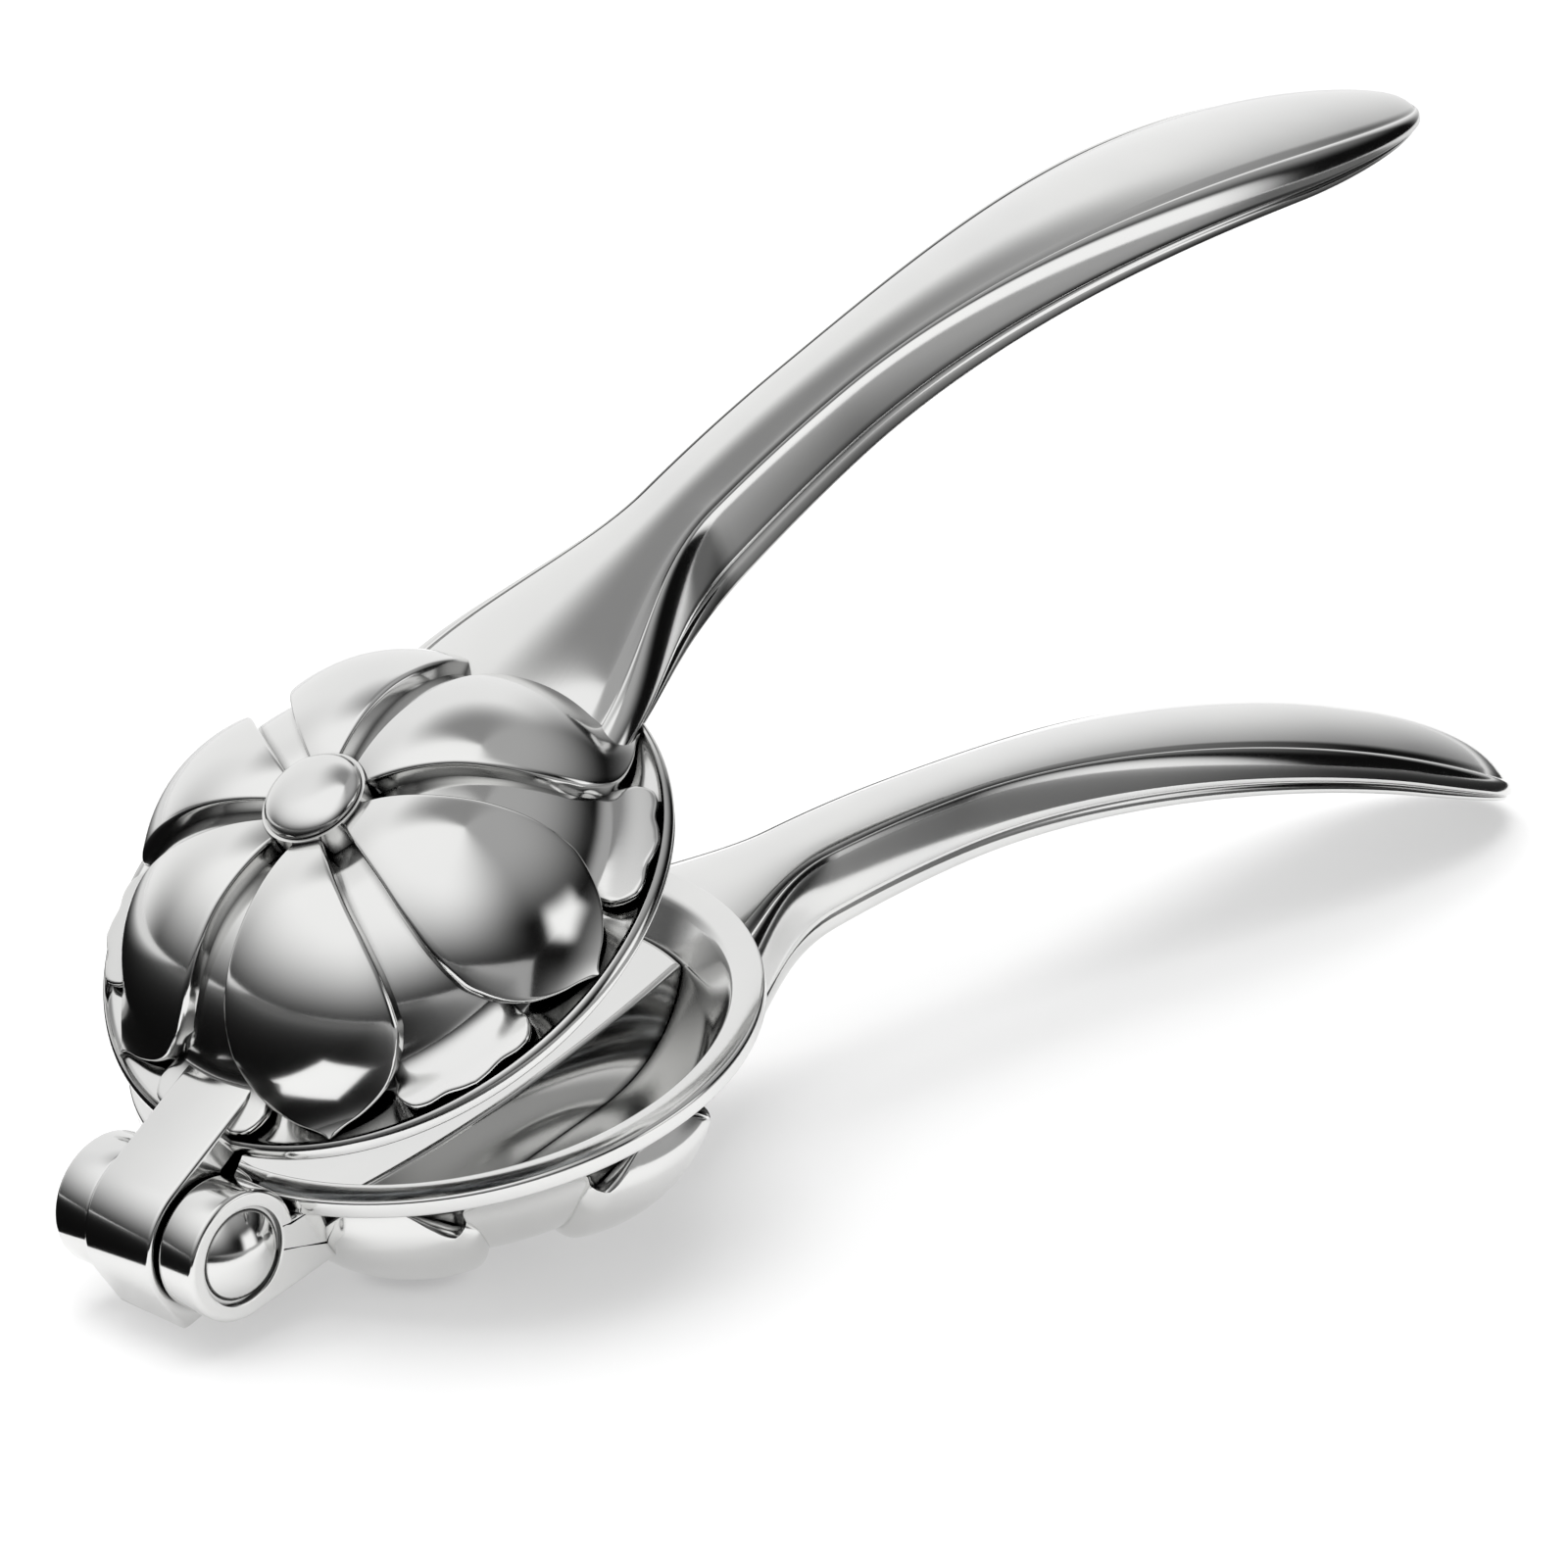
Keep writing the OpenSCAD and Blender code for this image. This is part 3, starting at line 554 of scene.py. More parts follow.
def ring_tree():
    """Geometry nodes that copy one petal or leaf round the cup's axis, evenly spaced."""
    tree = bpy.data.node_groups.new("petal_ring", "GeometryNodeTree")
    tree.interface.new_socket("Geometry", in_out="INPUT", socket_type="NodeSocketGeometry")
    tree.interface.new_socket("Count", in_out="INPUT", socket_type="NodeSocketInt")
    tree.interface.new_socket("First turn", in_out="INPUT", socket_type="NodeSocketFloat")
    tree.interface.new_socket("Finish", in_out="INPUT", socket_type="NodeSocketMaterial")
    tree.interface.new_socket("Geometry", in_out="OUTPUT", socket_type="NodeSocketGeometry")
    given = add(tree, "NodeGroupInput").node.outputs
    places = add(tree, "GeometryNodePoints", Count=given["Count"])
    number = add(tree, "GeometryNodeInputIndex")
    step = add(tree, "ShaderNodeMath", {"operation": "DIVIDE"}, i0=2 * math.pi, i1=given["Count"])
    turn = add(tree, "ShaderNodeMath", MULTIPLY_ADD, i0=number, i1=step, i2=given["First turn"])
    about_axis = add(tree, "ShaderNodeCombineXYZ", Z=turn)
    copies = add(
        tree, "GeometryNodeInstanceOnPoints", Points=places, Instance=given["Geometry"], Rotation=about_axis)
    solid = add(tree, "GeometryNodeRealizeInstances", Geometry=copies)
    finished = add(tree, "GeometryNodeSetMaterial", Geometry=solid, Material=given["Finish"])
    add(tree, "NodeGroupOutput", Geometry=finished)
    return tree


PETAL_RING = ring_tree()


def round_the_cup(skin, first_turn):
    """Copies a skin round the cup's axis with the ring's nodes, and gives back one skin."""
    mesh = bpy.data.meshes.new("one_petal")
    mesh.from_pydata(skin[0].tolist(), [], skin[1])
    one = bpy.data.objects.new("one_petal", mesh)
    bpy.context.scene.collection.objects.link(one)
    ring = one.modifiers.new("ring", "NODES")
    ring.node_group = PETAL_RING
    sizes = {"Count": PETALS, "First turn": first_turn, "Finish": CASTING}
    for socket in PETAL_RING.interface.items_tree:
        if socket.name in sizes:
            ring[socket.identifier] = sizes[socket.name]
    graph = bpy.context.evaluated_depsgraph_get()
    made = bpy.data.meshes.new_from_object(one.evaluated_get(graph), depsgraph=graph)
    points = np.array([v.co for v in made.vertices], float)
    faces = [tuple(p.vertices) for p in made.polygons]
    bpy.data.objects.remove(one)
    bpy.data.meshes.remove(mesh)
    bpy.data.meshes.remove(made)
    return points, faces


def cup_skin(cup):
    skins = [cup_body(cup)]
    if cup["skirted"]:
        skins.append(round_the_cup(leaf(cup), 0.0))
    skins.append(round_the_cup(petal(cup), math.pi / PETALS))
    return joined(skins)


piece("upper_cup", placed(cup_skin(UPPER), in_upper_cup), "upper_jaw", "polished_casting")
piece("lower_bowl", placed(cup_skin(LOWER), in_lower_bowl), "lower_jaw", "polished_casting")

# How full a button's pillow is, where 2 is an ellipse
PILLOW_POWER = 2.6
TAIL_EDGE = 0.2
BUTTON_STEPS, BUTTON_TURNS = 40, 96


def button(cup, tail):
    """A low pillow of a button on a shank, through the middle of a cup."""
    seat = cup["seat"] + HEAD_LIFT
    share = np.sin(np.radians(np.linspace(POLE_TURN, 90, BUTTON_STEPS)))
    height = seat + BUTTON_H * np.sqrt(1 - share ** PILLOW_POWER)
    crown = np.stack([BUTTON_R * share, height], axis=-1).tolist()
    shank = [[RIVET_R, seat], [RIVET_R, tail + TAIL_EDGE], [RIVET_R - TAIL_EDGE, tail]]
    return revolved([*crown, *shank], all_round(BUTTON_TURNS), closed=False)


piece("crown_rivet", placed(button(UPPER, CROWN_TAIL), in_upper_cup), "upper_jaw", "rivet_steel")
piece("base_rivet", placed(button(LOWER, BASE_TAIL), in_lower_bowl), "lower_jaw", "rivet_steel")


# The handles

# Where a handle's arch starts, from the cup's axis, and how far outside the hollow its root lies
ROOT_X = 16.0
ROOT_WALL = 0.55
ROOT_TRIES = 261
# Half widths at the waist and the root, and the stretches where a handle narrows, broadens and rounds off
WAIST, ROOT = 4.4, 13.0
FLARE_L, BROADEN, END_L = 26.0, (43.0, 103.0), 26.0
# The crown's height by half width, where it starts to change, and the length over which the tip lifts
CROWN, CROWN_FROM, LIFT_L = 0.21, 75.0, 30.0
# How round the end is in plan, where 2 is an ellipse, and how far round it goes
END_POWER = 2.2
TIP_STOP, LAST_TURN = 82, 87.5
ALONG_STEPS, END_STEPS = 90, 40
# A handle's section, as shares of its half width and thickness: the crown's reach and the lip beside it
CROWN_REACH, CROWN_STEPS = 0.84, 15
GROOVE_DEEP = 0.05
LIP_MIDDLE, LIP_HALF, LIP_DEEP = 0.87, 0.13, 0.6
LIP_START, LIP_STEPS = 100, 13
# Its underside from the lip to the middle, with a step under the lip and a hollow between two feet
UNDERSIDE = np.array([
    [0.97, 0, -0.68], [0.92, 0, -0.7], [0.92, 0, -0.76], [0.94, 0, -0.82], [0.93, 0, -0.95], [0.88, 0, -1.0],
    [0.64, 0, -1.0], [0.5, 0, -0.6], [0.25, 0, -0.56]])
HOLLOW_MIDDLE = [0, 0, -0.55]


def section():
    """A handle's outline, as shares: across by half width, up by crown height, up by thickness."""
    y = np.linspace(0, 1, CROWN_STEPS)[:-1]
    crown = np.stack([CROWN_REACH * y, 1 - y * y, 0 * y], axis=-1)
    a = np.radians(np.linspace(LIP_START, 0, LIP_STEPS))
    lip = np.stack([LIP_MIDDLE + LIP_HALF * np.cos(a), 0 * a, -LIP_DEEP + LIP_DEEP * np.sin(a)], axis=-1)
    half = np.concatenate([crown, [[CROWN_REACH, 0, -GROOVE_DEEP]], lip, UNDERSIDE])
    mirror = half[:0:-1] * np.array([-1, 1, 1])
    return softened(np.concatenate([half, [HOLLOW_MIDDLE], mirror]))


def handle(spec, cup, plane, side):
    """An arched handle that starts inside the cup's wall; side is 1 for the upper jaw, -1 for the lower."""
    length, droop = spec["length"], math.radians(spec["droop"])
    bend = length / droop
    neck, tip = spec["neck_t"], spec["tip_t"]
    shape = section()
    reach = END_L * math.sin(math.radians(TIP_STOP))
    grid = np.concatenate([
        np.linspace(0, length - END_L, ALONG_STEPS)[:-1],
        length - END_L + reach * np.sin(np.radians(np.linspace(0, LAST_TURN, END_STEPS)))])

    def ring_at(u):
        end = np.maximum(0, (u - (length - END_L)) / reach)
        root = 1 - ease(0, FLARE_L, u)
        half = WAIST + (ROOT - WAIST) * root + (spec["paddle"] - WAIST) * ease(*BROADEN, u)
        half = half * (1 - end ** END_POWER) ** (1 / END_POWER)
        thick = neck + (tip - neck) * u / length + (spec["root_t"] - neck) * root
        thick = thick * (1 - spec["tip_thin"] * end ** 2)
        crown = (CROWN + (spec["tip_crown"] - CROWN) * ease(CROWN_FROM, length, u)) * half
        lift = spec["tip_lift"] * np.maximum(0, 1 - (length - u) / LIFT_L) ** 2
        up = shape[:, 1] * crown + shape[:, 2] * thick + lift
        turn = droop * u / length
        x = CUP_REACH + ROOT_X + bend * np.sin(turn) + up * np.sin(turn)
        z = plane + side * spec["rise"] - bend * (1 - np.cos(turn)) + up * np.cos(turn)
        return np.stack([x, shape[:, 0] * half, z], axis=-1)

    # Each line along the handle starts inside the cup's wall, just outside the hollow
    begin = np.zeros(len(shape))
    found = np.zeros(len(shape), bool)
    for u in np.linspace(0, FLARE_L, ROOT_TRIES):
        p = ring_at(np.full(len(shape), u))
        r = np.hypot(p[:, 0] - CUP_REACH, p[:, 1])
        high = side * (p[:, 2] - plane)
        out = r > hollow_r(cup, np.maximum(high, 0)) + ROOT_WALL
        begin = np.where(out & ~found, u, begin)
        found |= out
    loops = [ring_at(begin + (length - begin) * u / length) for u in grid]

    # The root is closed inside the wall, along its curve
    root = loops[0]
    high = side * (root[:, 2] - plane)
    for k in CLOSING:
        y = k * root[:, 1]
        h = high.mean() + k * (high - high.mean())
        x = CUP_REACH + np.sqrt((hollow_r(cup, np.maximum(h, 0)) + ROOT_WALL) ** 2 - y * y)
        loops.insert(0, np.stack([x, y, plane + side * h], axis=-1))
    return stack(loops)


upper_arm = placed(handle(UPPER_HANDLE, UPPER, UPPER_PLANE, 1), upper_jaw)
lower_arm = placed(handle(LOWER_HANDLE, LOWER, LOWER_PLANE, -1), lower_jaw)
piece("upper_handle", upper_arm, "upper_jaw", "polished_casting", SHARP_HANDLE)
piece("lower_handle", lower_arm, "lower_jaw", "polished_casting", SHARP_HANDLE)


# The hinge

# Gaps round the pin where the tongue turns on it and where the lugs hold it
TURNING_GAP, HELD_GAP = 0.05, 0.08
# The tongue's outline: where its root ends, from the cup's axis, and its heel from the top down to the corner
TONGUE_TOP_IN, TONGUE_FOOT_IN = 19.4, 21.6
HEEL_TOP = 0.6
HEEL_CORNER = [(0.0, 0.5), (0.12, 0.12), (0.5, -0.1)]
# Its rounds above and below the heel, and the lug's round, as first angle, last angle and steps
TONGUE_BACK, TONGUE_FRONT = (90, 178, 40), (246, 391, 60)
LUG_ROUND = (4, 270, 90)
TONGUE_BEVEL = 0.35
# A lug's outline: where its root ends, from the cup's axis, and how high its top is there
LUG_TOP_IN, LUG_FOOT_IN, LUG_TOP_Z = 22.2, 18.8, 0.3
LUG_BEVEL = 0.4
# The recess round the pin's head, as distance from the head and depth, and a narrow flat beside each bevel
RECESS_GAP = 0.3
RECESS_EDGE = [(RECESS_GAP, 0.12), (0.34, 0.04), (0.42, 0.0), (0.5, 0.0)]
BEVEL_FLAT = 0.06
# The longest step along an outline, for a plate and for the cradle
PLATE_STEP = 0.4
BAR_STEP = 0.5
# Keeps a sharp corner's inset from running far out
SHARPEST = 0.5


def inset(outline, amount):
    """Moves a closed outline inward, square to its own line."""
    before, ahead = np.roll(outline, 1, axis=0), np.roll(outline, -1, axis=0)
    a, b = outline - before, ahead - outline
    a /= np.linalg.norm(a, axis=1)[:, None]
    b /= np.linalg.norm(b, axis=1)[:, None]
    side = np.stack([-a[:, 1] - b[:, 1], a[:, 0] + b[:, 0]], axis=-1)
    turn = 1 + np.sum(a * b, axis=1)
    return outline + amount * side / np.maximum(turn, SHARPEST)[:, None]


def spaced(corners, gap):
    """Adds points along a closed outline, so that no step is longer than the gap."""
    out = []
    for a, b in zip(corners, np.roll(corners, -1, axis=0)):
        count = max(1, int(np.ceil(np.linalg.norm(b - a) / gap)))
        out += [a + (b - a) * i / count for i in range(count)]
    return np.array(out)


def plate(corners, near, far, bevel, holes):
    """A flat plate with rounded edges; holes gives radius and depth from the near face round the pin."""
    outline = spaced(corners, PLATE_STEP)
    around = np.arctan2(outline[:, 1], outline[:, 0])
    circle = np.stack([np.cos(around), np.sin(around)], axis=-1)
    way = np.sign(far - near)
    loops = []

    def ring(flat, y):
        loops.append(np.stack([flat[:, 0], np.full(len(flat), y), flat[:, 1]], axis=-1))

    for radius, depth in holes:
        ring(radius * circle, near + depth * way)
    ring(inset(outline, bevel + BEVEL_FLAT), near)
    for c in QUARTER:
        ring(inset(outline, bevel * (1 - math.sin(c))), near + way * bevel * (1 - math.cos(c)))
    for c in QUARTER[::-1]:
        ring(inset(outline, bevel * (1 - math.sin(c))), far - way * bevel * (1 - math.cos(c)))
    ring(inset(outline, bevel + BEVEL_FLAT), far)
    ring(holes[0][0] * circle, far)
    return stack(loops, closed=True)


tongue_line = np.concatenate([
    [[CUP_REACH - TONGUE_TOP_IN, TONGUE_R]],
    arc((0, 0), TONGUE_R, *TONGUE_BACK),
    [[-TONGUE_R, -HEEL_TOP]],
    [[-TONGUE_R + x, -HEEL + z] for x, z in HEEL_CORNER],
    arc((0, 0), TONGUE_R, *TONGUE_FRONT),
    [[CUP_REACH - TONGUE_FOOT_IN, UPPER_PLANE]],
])
tongue_hole = [(PIN_R + TURNING_GAP, TONGUE_HALF), (PIN_R + TURNING_GAP, 0)]
tongue = plate(tongue_line, -TONGUE_HALF, TONGUE_HALF, TONGUE_BEVEL, tongue_hole)
piece("hinge_tongue", placed(tongue, upper_jaw), "upper_jaw", "polished_casting", SHARP_PLATE)

lug_line = np.concatenate([
    [[CUP_REACH - LUG_TOP_IN, LUG_TOP_Z]],
    arc((0, 0), LUG_R, *LUG_ROUND),
    [[CUP_REACH - LUG_FOOT_IN, -LUG_R]],
])
lug_holes = [
    (PIN_R + HELD_GAP, LUG_OUT - LUG_IN),
    (PIN_R + HELD_GAP, HEAD_RECESS),
    (PIN_HEAD_R + RECESS_GAP, HEAD_RECESS),
    *[(PIN_HEAD_R + out, depth) for out, depth in RECESS_EDGE],
]
for name, way in (("near_lug", -1), ("far_lug", 1)):
    lug = plate(lug_line, way * LUG_OUT, way * LUG_IN, LUG_BEVEL, lug_holes)
    piece(name, placed(lug, lower_jaw), "lower_jaw", "polished_casting", SHARP_PLATE)

# The pin's head: the round and the band at its edge, how far it tapers in below, and the neck under it
HEAD_EDGE, HEAD_BAND, HEAD_TAPER, HEAD_NECK = 0.12, 0.2, 0.1, 0.3
HEAD_STEPS, HEAD_TURNS = 26, 72


def pin_skin():
    """A pin along the hinge's axis with a low domed head at both ends."""
    seat = LUG_OUT - HEAD_RECESS + HEAD_LIFT
    ball = (PIN_HEAD_R ** 2 + PIN_HEAD_H ** 2) / (2 * PIN_HEAD_H)
    lean = math.degrees(math.asin((PIN_HEAD_R - HEAD_EDGE) / ball))
    dome = arc((0, seat + PIN_HEAD_H - ball), ball, 90 - POLE_TURN, 90 - lean, HEAD_STEPS).tolist()
    band = [[PIN_HEAD_R, dome[-1][1] - HEAD_BAND], [PIN_HEAD_R - HEAD_TAPER, seat]]
    head = [*dome, *band, [PIN_R, seat], [PIN_R, seat - HEAD_NECK]]
    profile = [*head, *[[r, -z] for r, z in head[::-1]]]
    points, faces = revolved(profile, all_round(HEAD_TURNS), closed=False)
    return points[:, [0, 2, 1]], faces


piece("hinge_pin", placed(pin_skin(), lower_jaw), "lower_jaw", "rivet_steel")


# Inside the cups

BAR_DISH_R = 150.0
BAR_DROP = 3.2
BAR_HALF = 7.25
BAR_REACH = 20.9
BAR_EDGE = 0.45
# The bar's floor lies this far inside the vault, and its sides are at least this high
BAR_GAP = 0.08
BAR_SIDE = 0.05
BAR_STEPS = 24
BAR_CLOSING = (0.98, *CLOSING)


def cradle():
    """A broad bar with a hollow top, whose ends stand against the bowl's wall."""
    hollow = LOWER["ring_r"] + VAULT_R
    sag = BAR_DISH_R - math.sqrt(BAR_DISH_R ** 2 - hollow ** 2)
    turn = math.degrees(math.asin(BAR_HALF / BAR_REACH))
    ends = [arc((0, 0), BAR_REACH, middle - turn, middle + turn, BAR_STEPS) for middle in (0, 180)]
    outline = spaced(np.concatenate(ends), BAR_STEP)

    def top(p):
        return BAR_DROP + sag - BAR_DISH_R + np.sqrt(BAR_DISH_R ** 2 - p[:, 0] ** 2)

    def floor(p):
        r = np.maximum(np.hypot(p[:, 0], p[:, 1]) - LOWER["ring_r"], 0)
        return LOWER["ring_z"] + np.sqrt(np.maximum((VAULT_R - BAR_GAP) ** 2 - r * r, 0))

    loops = []

    def ring(p, z):
        loops.append(np.concatenate([p, z[:, None]], axis=1))

    flat = inset(outline, BAR_EDGE)
    for k in BAR_CLOSING[::-1]:
        ring(flat * k, top(flat * k))
    for c in QUARTER:
        p = inset(outline, BAR_EDGE * (1 - math.sin(c)))
        ring(p, top(p) + BAR_EDGE * (1 - math.cos(c)))
    ring(outline, np.maximum(floor(outline), top(outline) + BAR_EDGE + BAR_SIDE))
    for k in BAR_CLOSING:
        ring(outline * k, floor(outline * k))
    return stack(loops)


piece("nut_cradle", placed(cradle(), in_lower_bowl), "lower_jaw", "polished_casting", SHARP_HANDLE)

# The hub and the blades keep their CAD shape and get a better finish
CAD_SLOTS = {"blade_hub": "rivet_steel", "long_blade": "blade_steel", "cross_blade": "blade_steel"}
for name, slot in CAD_SLOTS.items():
    node = frame["nodes"][name]
    node.data.materials.clear()
    node.data.materials.append(FINISHES[slot])


# The studio: white ground and world, with graded cards and a graded cove for the metal to mirror

WHITE = linear("ffffff")
PAPER_WHITE = "f8f8f8"
PAPER_GLOW = 0.4
WORLD_LIGHT = 0.5
GROUND_HALF = 3.0
GROUND_Z = -0.0002
COVE_R = 2.5
COVE_TURNS, COVE_RINGS = 64, 32
# The cove's opening: how near the far side, as a cosine, and how high, as a share of the radius
OPEN_SIDE = 0.95
OPEN_TOP = 0.7
# How far under the tool the cards lie, how far out they reach, and how far outside the picture they start
CARD_DROP = 0.0001
CARD_REACH = 1.5
FRAME_MARGIN = 1.03

# Level directions across the table
NEAR_SIDE = (-0.7469, -0.6650, 0.0)
RIGHT_FRONT = (0.74, -0.67, 0.0)
FAR_SIDE = (0.4745, 0.8805, 0.0)
LEFT_SIDE = (-0.9731, 0.2303, 0.0)
BOX_SIDE = (0.4648, -0.8859, 0.0)

# The cards' brightness: its direction, where it starts and stops in metres, and its share there
CARD_SIDES = {
    "right": (RIGHT_FRONT, -0.07, 0.08, 1.0),
    "near": (NEAR_SIDE, -0.05, 0.05, 1.0),
    "far": (FAR_SIDE, 0.06, 0.22, 0.8),
}
# The dark part of the cards brightens away from the cups; the right front is a plain grey
CARD_MIDDLE = (-0.03, 0.0, 0.0)
CARD_NEAR, CARD_FAR, CARD_BLACK, CARD_DIM = 0.06, 0.4, 0.005, 0.15
CARD_GREY = 0.42
# The cove's parts: their direction, the cosines at which they start and are full, and their share there
COVE_SIDES = {
    "left": (LEFT_SIDE, -0.3, 0.8, 1.0),
    "far": (FAR_SIDE, 0.45, 0.95, 1.0),
    "box": (BOX_SIDE, 0.945, 0.993, 1.0),
}
# Their brightness by height: from where to where, as a share of the radius, and from which level to which
COVE_HEIGHTS = {
    "right": (0.3, 0.95, 0.005, 0.45),
    "left": (-0.12, 0.8, 0.0, 1.1),
    "far": (0.72, 0.95, 1.0, 0.3),
    "box_foot": (-0.15, 0.0, 0.0, 1.0),
    "box_top": (0.5, 0.3, 0.0, 1.0),
}
BOX_LEVEL = 1.15


def toward_sides(tree, vector, sides):
    """For each named side, how far a place or a direction lies toward it, from 0 to the side's share."""
    shares = {}
    for side, (direction, start, stop, most) in sides.items():
        reach = add(tree, "ShaderNodeVectorMath", DOT_PRODUCT, "Value", i0=vector, i1=direction)
        shares[side] = add(
            tree, "ShaderNodeMapRange", SMOOTH, Value=reach, i1=start, i2=stop, i3=0.0, i4=most)
    return shares


def background_rays(tree):
    """1 for the rays that show the white background: the camera's, and those off metal or through glass."""
    rays = add(tree, "ShaderNodeLightPath").node.outputs
    off_metal = add(
        tree, "ShaderNodeMath", MAXIMUM, i0=rays["Is Glossy Ray"], i1=rays["Is Transmission Ray"])
    return add(tree, "ShaderNodeMath", MAXIMUM, i0=rays["Is Camera Ray"], i1=off_metal)


def ground_material():
    """White paper that glows a little, so that only a faint shadow stays on it."""
    material, tree = blank_material("white_ground")
    paper = add(tree, "ShaderNodeBsdfDiffuse", Color=linear(PAPER_WHITE))
    glow = add(tree, "ShaderNodeEmission", Color=WHITE, Strength=1.0)
    share = add(tree, "ShaderNodeMath", MULTIPLY, i0=background_rays(tree), i1=PAPER_GLOW)
    white = add(tree, "ShaderNodeMixShader", i0=share, i1=paper, i2=glow)
    add(tree, "ShaderNodeOutputMaterial", Surface=white)
    return material


def card_material():
    """Graded card: black at the left and in front, grey to the right front, white at the far side."""
    material, tree = blank_material("graded_card")
    place = add(tree, "ShaderNodeTexCoord", out="Object")
    shares = toward_sides(tree, place, CARD_SIDES)
    away = add(tree, "ShaderNodeVectorMath", {"operation": "DISTANCE"}, "Value", i0=place, i1=CARD_MIDDLE)
    dark = add(
        tree, "ShaderNodeMapRange", SMOOTH,
        Value=away, i1=CARD_NEAR, i2=CARD_FAR, i3=CARD_BLACK, i4=CARD_DIM)
    right_front = add(tree, "ShaderNodeMath", MULTIPLY, i0=shares["right"], i1=shares["near"])
    front = add(tree, "ShaderNodeMix", Factor=right_front, i2=dark, i3=CARD_GREY)
    level = add(tree, "ShaderNodeMix", Factor=shares["far"], i2=front, i3=1.0)
    grey = add(tree, "ShaderNodeEmission", Color=WHITE, Strength=level)
    add(tree, "ShaderNodeOutputMaterial", Surface=grey)
    return material


def cove_material():
    """White next to the far side, a graded left wall, a dark right side and a bright box."""
    material, tree = blank_material("graded_cove")
    place = add(tree, "ShaderNodeTexCoord", out="Object")
    way = add(tree, "ShaderNodeVectorMath", NORMALIZE, i0=place)
    height = add(tree, "ShaderNodeSeparateXYZ", out="Z", Vector=way)
    flat = add(tree, "ShaderNodeVectorMath", MULTIPLY, i0=way, i1=(1, 1, 0))
    bearing = add(tree, "ShaderNodeVectorMath", NORMALIZE, i0=flat)
    shares = toward_sides(tree, bearing, COVE_SIDES)
    levels = {}
    for part, (start, stop, low, high) in COVE_HEIGHTS.items():
        levels[part] = add(
            tree, "ShaderNodeMapRange", SMOOTH, Value=height, i1=start, i2=stop, i3=low, i4=high)
    sides = add(tree, "ShaderNodeMix", Factor=shares["left"], i2=levels["right"], i3=levels["left"])
    walls = add(tree, "ShaderNodeMix", Factor=shares["far"], i2=sides, i3=levels["far"])
    band = add(tree, "ShaderNodeMath", MULTIPLY, i0=levels["box_foot"], i1=levels["box_top"])
    box = add(tree, "ShaderNodeMath", MULTIPLY, i0=shares["box"], i1=band)
    level = add(tree, "ShaderNodeMix", Factor=box, i2=walls, i3=BOX_LEVEL)
    grey = add(tree, "ShaderNodeEmission", Color=WHITE, Strength=level)
    add(tree, "ShaderNodeOutputMaterial", Surface=grey)
    return material


def white_world():
    """White to the eye and in metal and glass; a plain grey light for everything else."""
    world = bpy.data.worlds.new("white_world")
    world.use_nodes = True
    tree = world.node_tree
    tree.nodes.clear()
    level = add(tree, "ShaderNodeMix", Factor=background_rays(tree), i2=WORLD_LIGHT, i3=1.0)
    light = add(tree, "ShaderNodeBackground", Color=WHITE, Strength=level)
    add(tree, "ShaderNodeOutputWorld", Surface=light)
    return world


def staged(name, mesh, material):
    """Puts a mesh of the studio in the scene, apart from the tool's own pieces."""
    mesh.materials.append(material)
    obj = bpy.data.objects.new(name, mesh)
    bpy.context.scene.collection.objects.link(obj)
    return obj


def ground():
    corners = [(x * GROUND_HALF, y * GROUND_HALF, GROUND_Z) for x, y in ((-1, -1), (1, -1), (1, 1), (-1, 1))]
    mesh = bpy.data.meshes.new("ground")
    mesh.from_pydata(corners, [], [(0, 1, 2, 3)])
    return staged("ground", mesh, ground_material())


def cove():
    """The studio's walls and ceiling, a dome round the table that is open at the far side."""
    mesh = bpy.data.meshes.new("studio_cove")
    work = bmesh.new()
    bmesh.ops.create_uvsphere(work, u_segments=COVE_TURNS, v_segments=COVE_RINGS, radius=COVE_R)
    gap = []
    for face in work.faces:
        middle = face.calc_center_median()
        bearing = Vector((middle.x, middle.y, 0)).normalized()
        if bearing.dot(Vector(FAR_SIDE)) > OPEN_SIDE and middle.z < OPEN_TOP * COVE_R:
            gap.append(face)
    bmesh.ops.delete(work, geom=gap, context="FACES")
    work.to_mesh(mesh)
    work.free()
    return staged("studio_cove", mesh, cove_material())


# The top light, a soft box over the table that the metal doesn't mirror
LAMP_PLACE = Vector((-0.05, 0.1, 0.9))
LAMP_AIM = Vector((0, 0, 0.035))
LAMP_SIZE = (1.0, 0.8)
LAMP_WATTS = 8


def top_box():
    lamp = bpy.data.lights.new("top_box", "AREA")
    lamp.shape = "RECTANGLE"
    lamp.size, lamp.size_y = LAMP_SIZE
    lamp.energy = LAMP_WATTS
    obj = bpy.data.objects.new("top_box", lamp)
    obj.location = LAMP_PLACE
    obj.rotation_euler = (LAMP_AIM - LAMP_PLACE).to_track_quat("-Z", "Y").to_euler()
    obj.visible_glossy = False
    bpy.context.scene.collection.objects.link(obj)


bpy.context.scene.world = white_world()
ground()
top_box()

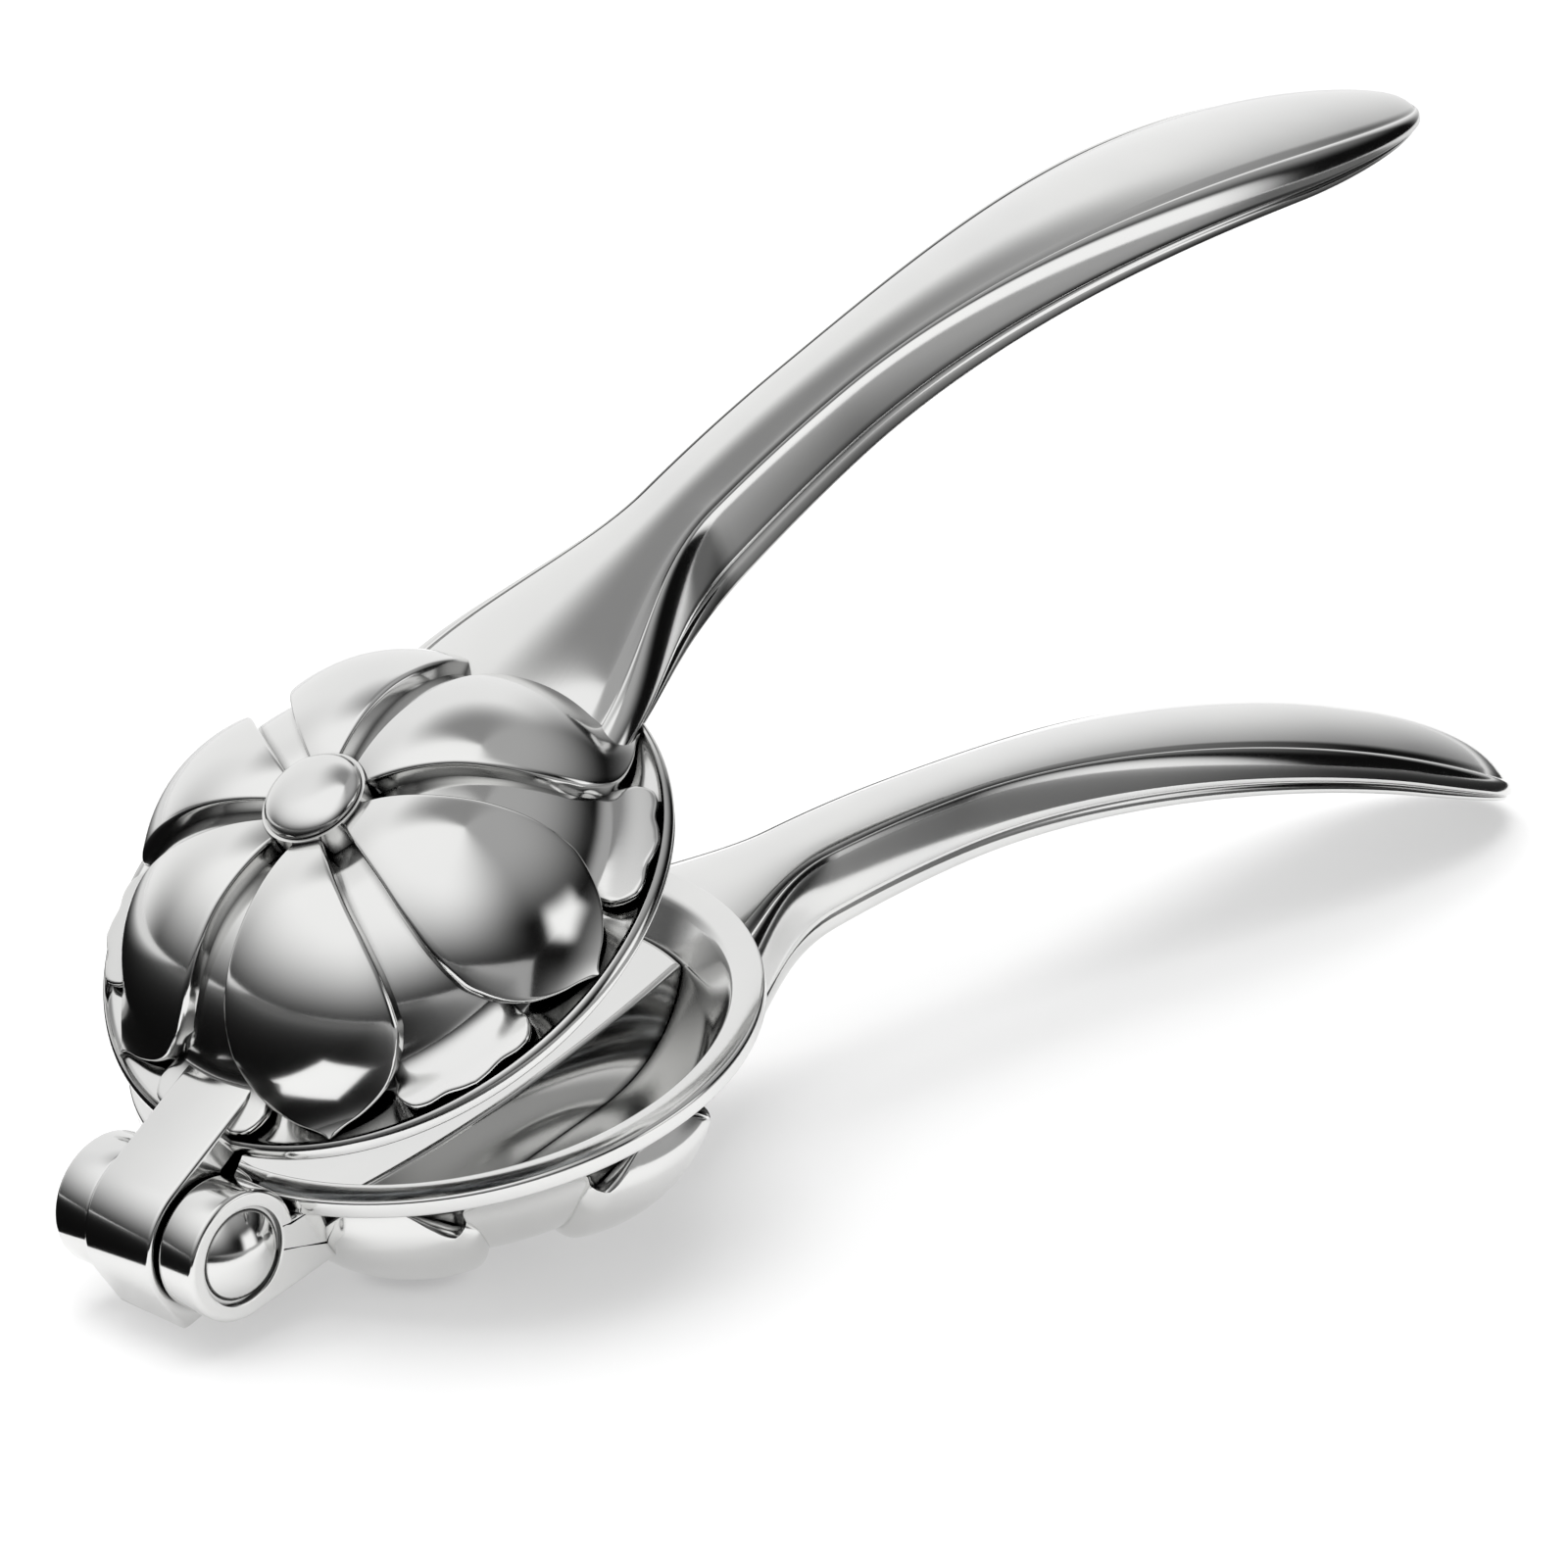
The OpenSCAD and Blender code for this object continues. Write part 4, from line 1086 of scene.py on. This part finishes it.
# The camera, at the photo's viewing angle
AZIMUTH, ELEVATION, ROLL = -48.321, 19.623, 1.917
TARGET = Vector((-0.016012, 0.0, 0.027426))
DISTANCE = 0.4601
LENS_MM, SENSOR_MM = 123.75, 36
CLIP_NEAR, CLIP_FAR = 0.01, 20
a, e, r = map(math.radians, (AZIMUTH, ELEVATION, ROLL))
back = Vector((math.sin(a) * math.cos(e), -math.cos(a) * math.cos(e), math.sin(e)))
level = (-back).cross(Vector((0, 0, 1))).normalized()
rise = level.cross(-back)
right = level * math.cos(r) + rise * math.sin(r)
up = rise * math.cos(r) - level * math.sin(r)
lens = bpy.data.cameras.new("camera")
lens.lens, lens.sensor_width = LENS_MM, SENSOR_MM
lens.clip_start, lens.clip_end = CLIP_NEAR, CLIP_FAR
camera = bpy.data.objects.new("camera", lens)
camera.matrix_world = Matrix((right, up, back)).transposed().to_4x4()
camera.location = TARGET + back * DISTANCE
bpy.context.scene.collection.objects.link(camera)
bpy.context.scene.camera = camera


def table_cards():
    """Cards laid on the table just outside the picture: at its left, at its right and in front."""
    half_view = FRAME_MARGIN * lens.sensor_width / 2 / lens.lens

    def on_table(across_view, up_view):
        way = (right * across_view + up * up_view) * half_view - back
        return camera.location - way * (camera.location.z + CARD_DROP) / way.z

    near_left, near_right = on_table(-1, -1), on_table(1, -1)
    far_left, far_right = on_table(-1, 1), on_table(1, 1)
    out = level * CARD_REACH
    front = Vector((back.x, back.y, 0)).normalized() * CARD_REACH
    left_card = [near_left, near_left - out, far_left - out, far_left]
    right_card = [near_right, far_right, far_right + out, near_right + out]
    front_card = [
        near_left - out, near_left, near_right, near_right + out,
        near_right + out + front, near_left - out + front,
    ]
    mesh = bpy.data.meshes.new("table_cards")
    mesh.from_pydata(
        [*left_card, *right_card, *front_card], [], [(0, 1, 2, 3), (4, 5, 6, 7), (8, 9, 10, 11, 12, 13)])
    return staged("table_cards", mesh, card_material())


# The camera looks past the cards and the cove from every side, and the cards don't darken the ground
cards = table_cards()
cards.visible_diffuse = False
for surround in (cards, cove()):
    surround.visible_camera = False
    surround.visible_transmission = False
    surround.visible_shadow = False
bpy.context.scene.view_settings.view_transform = "Standard"
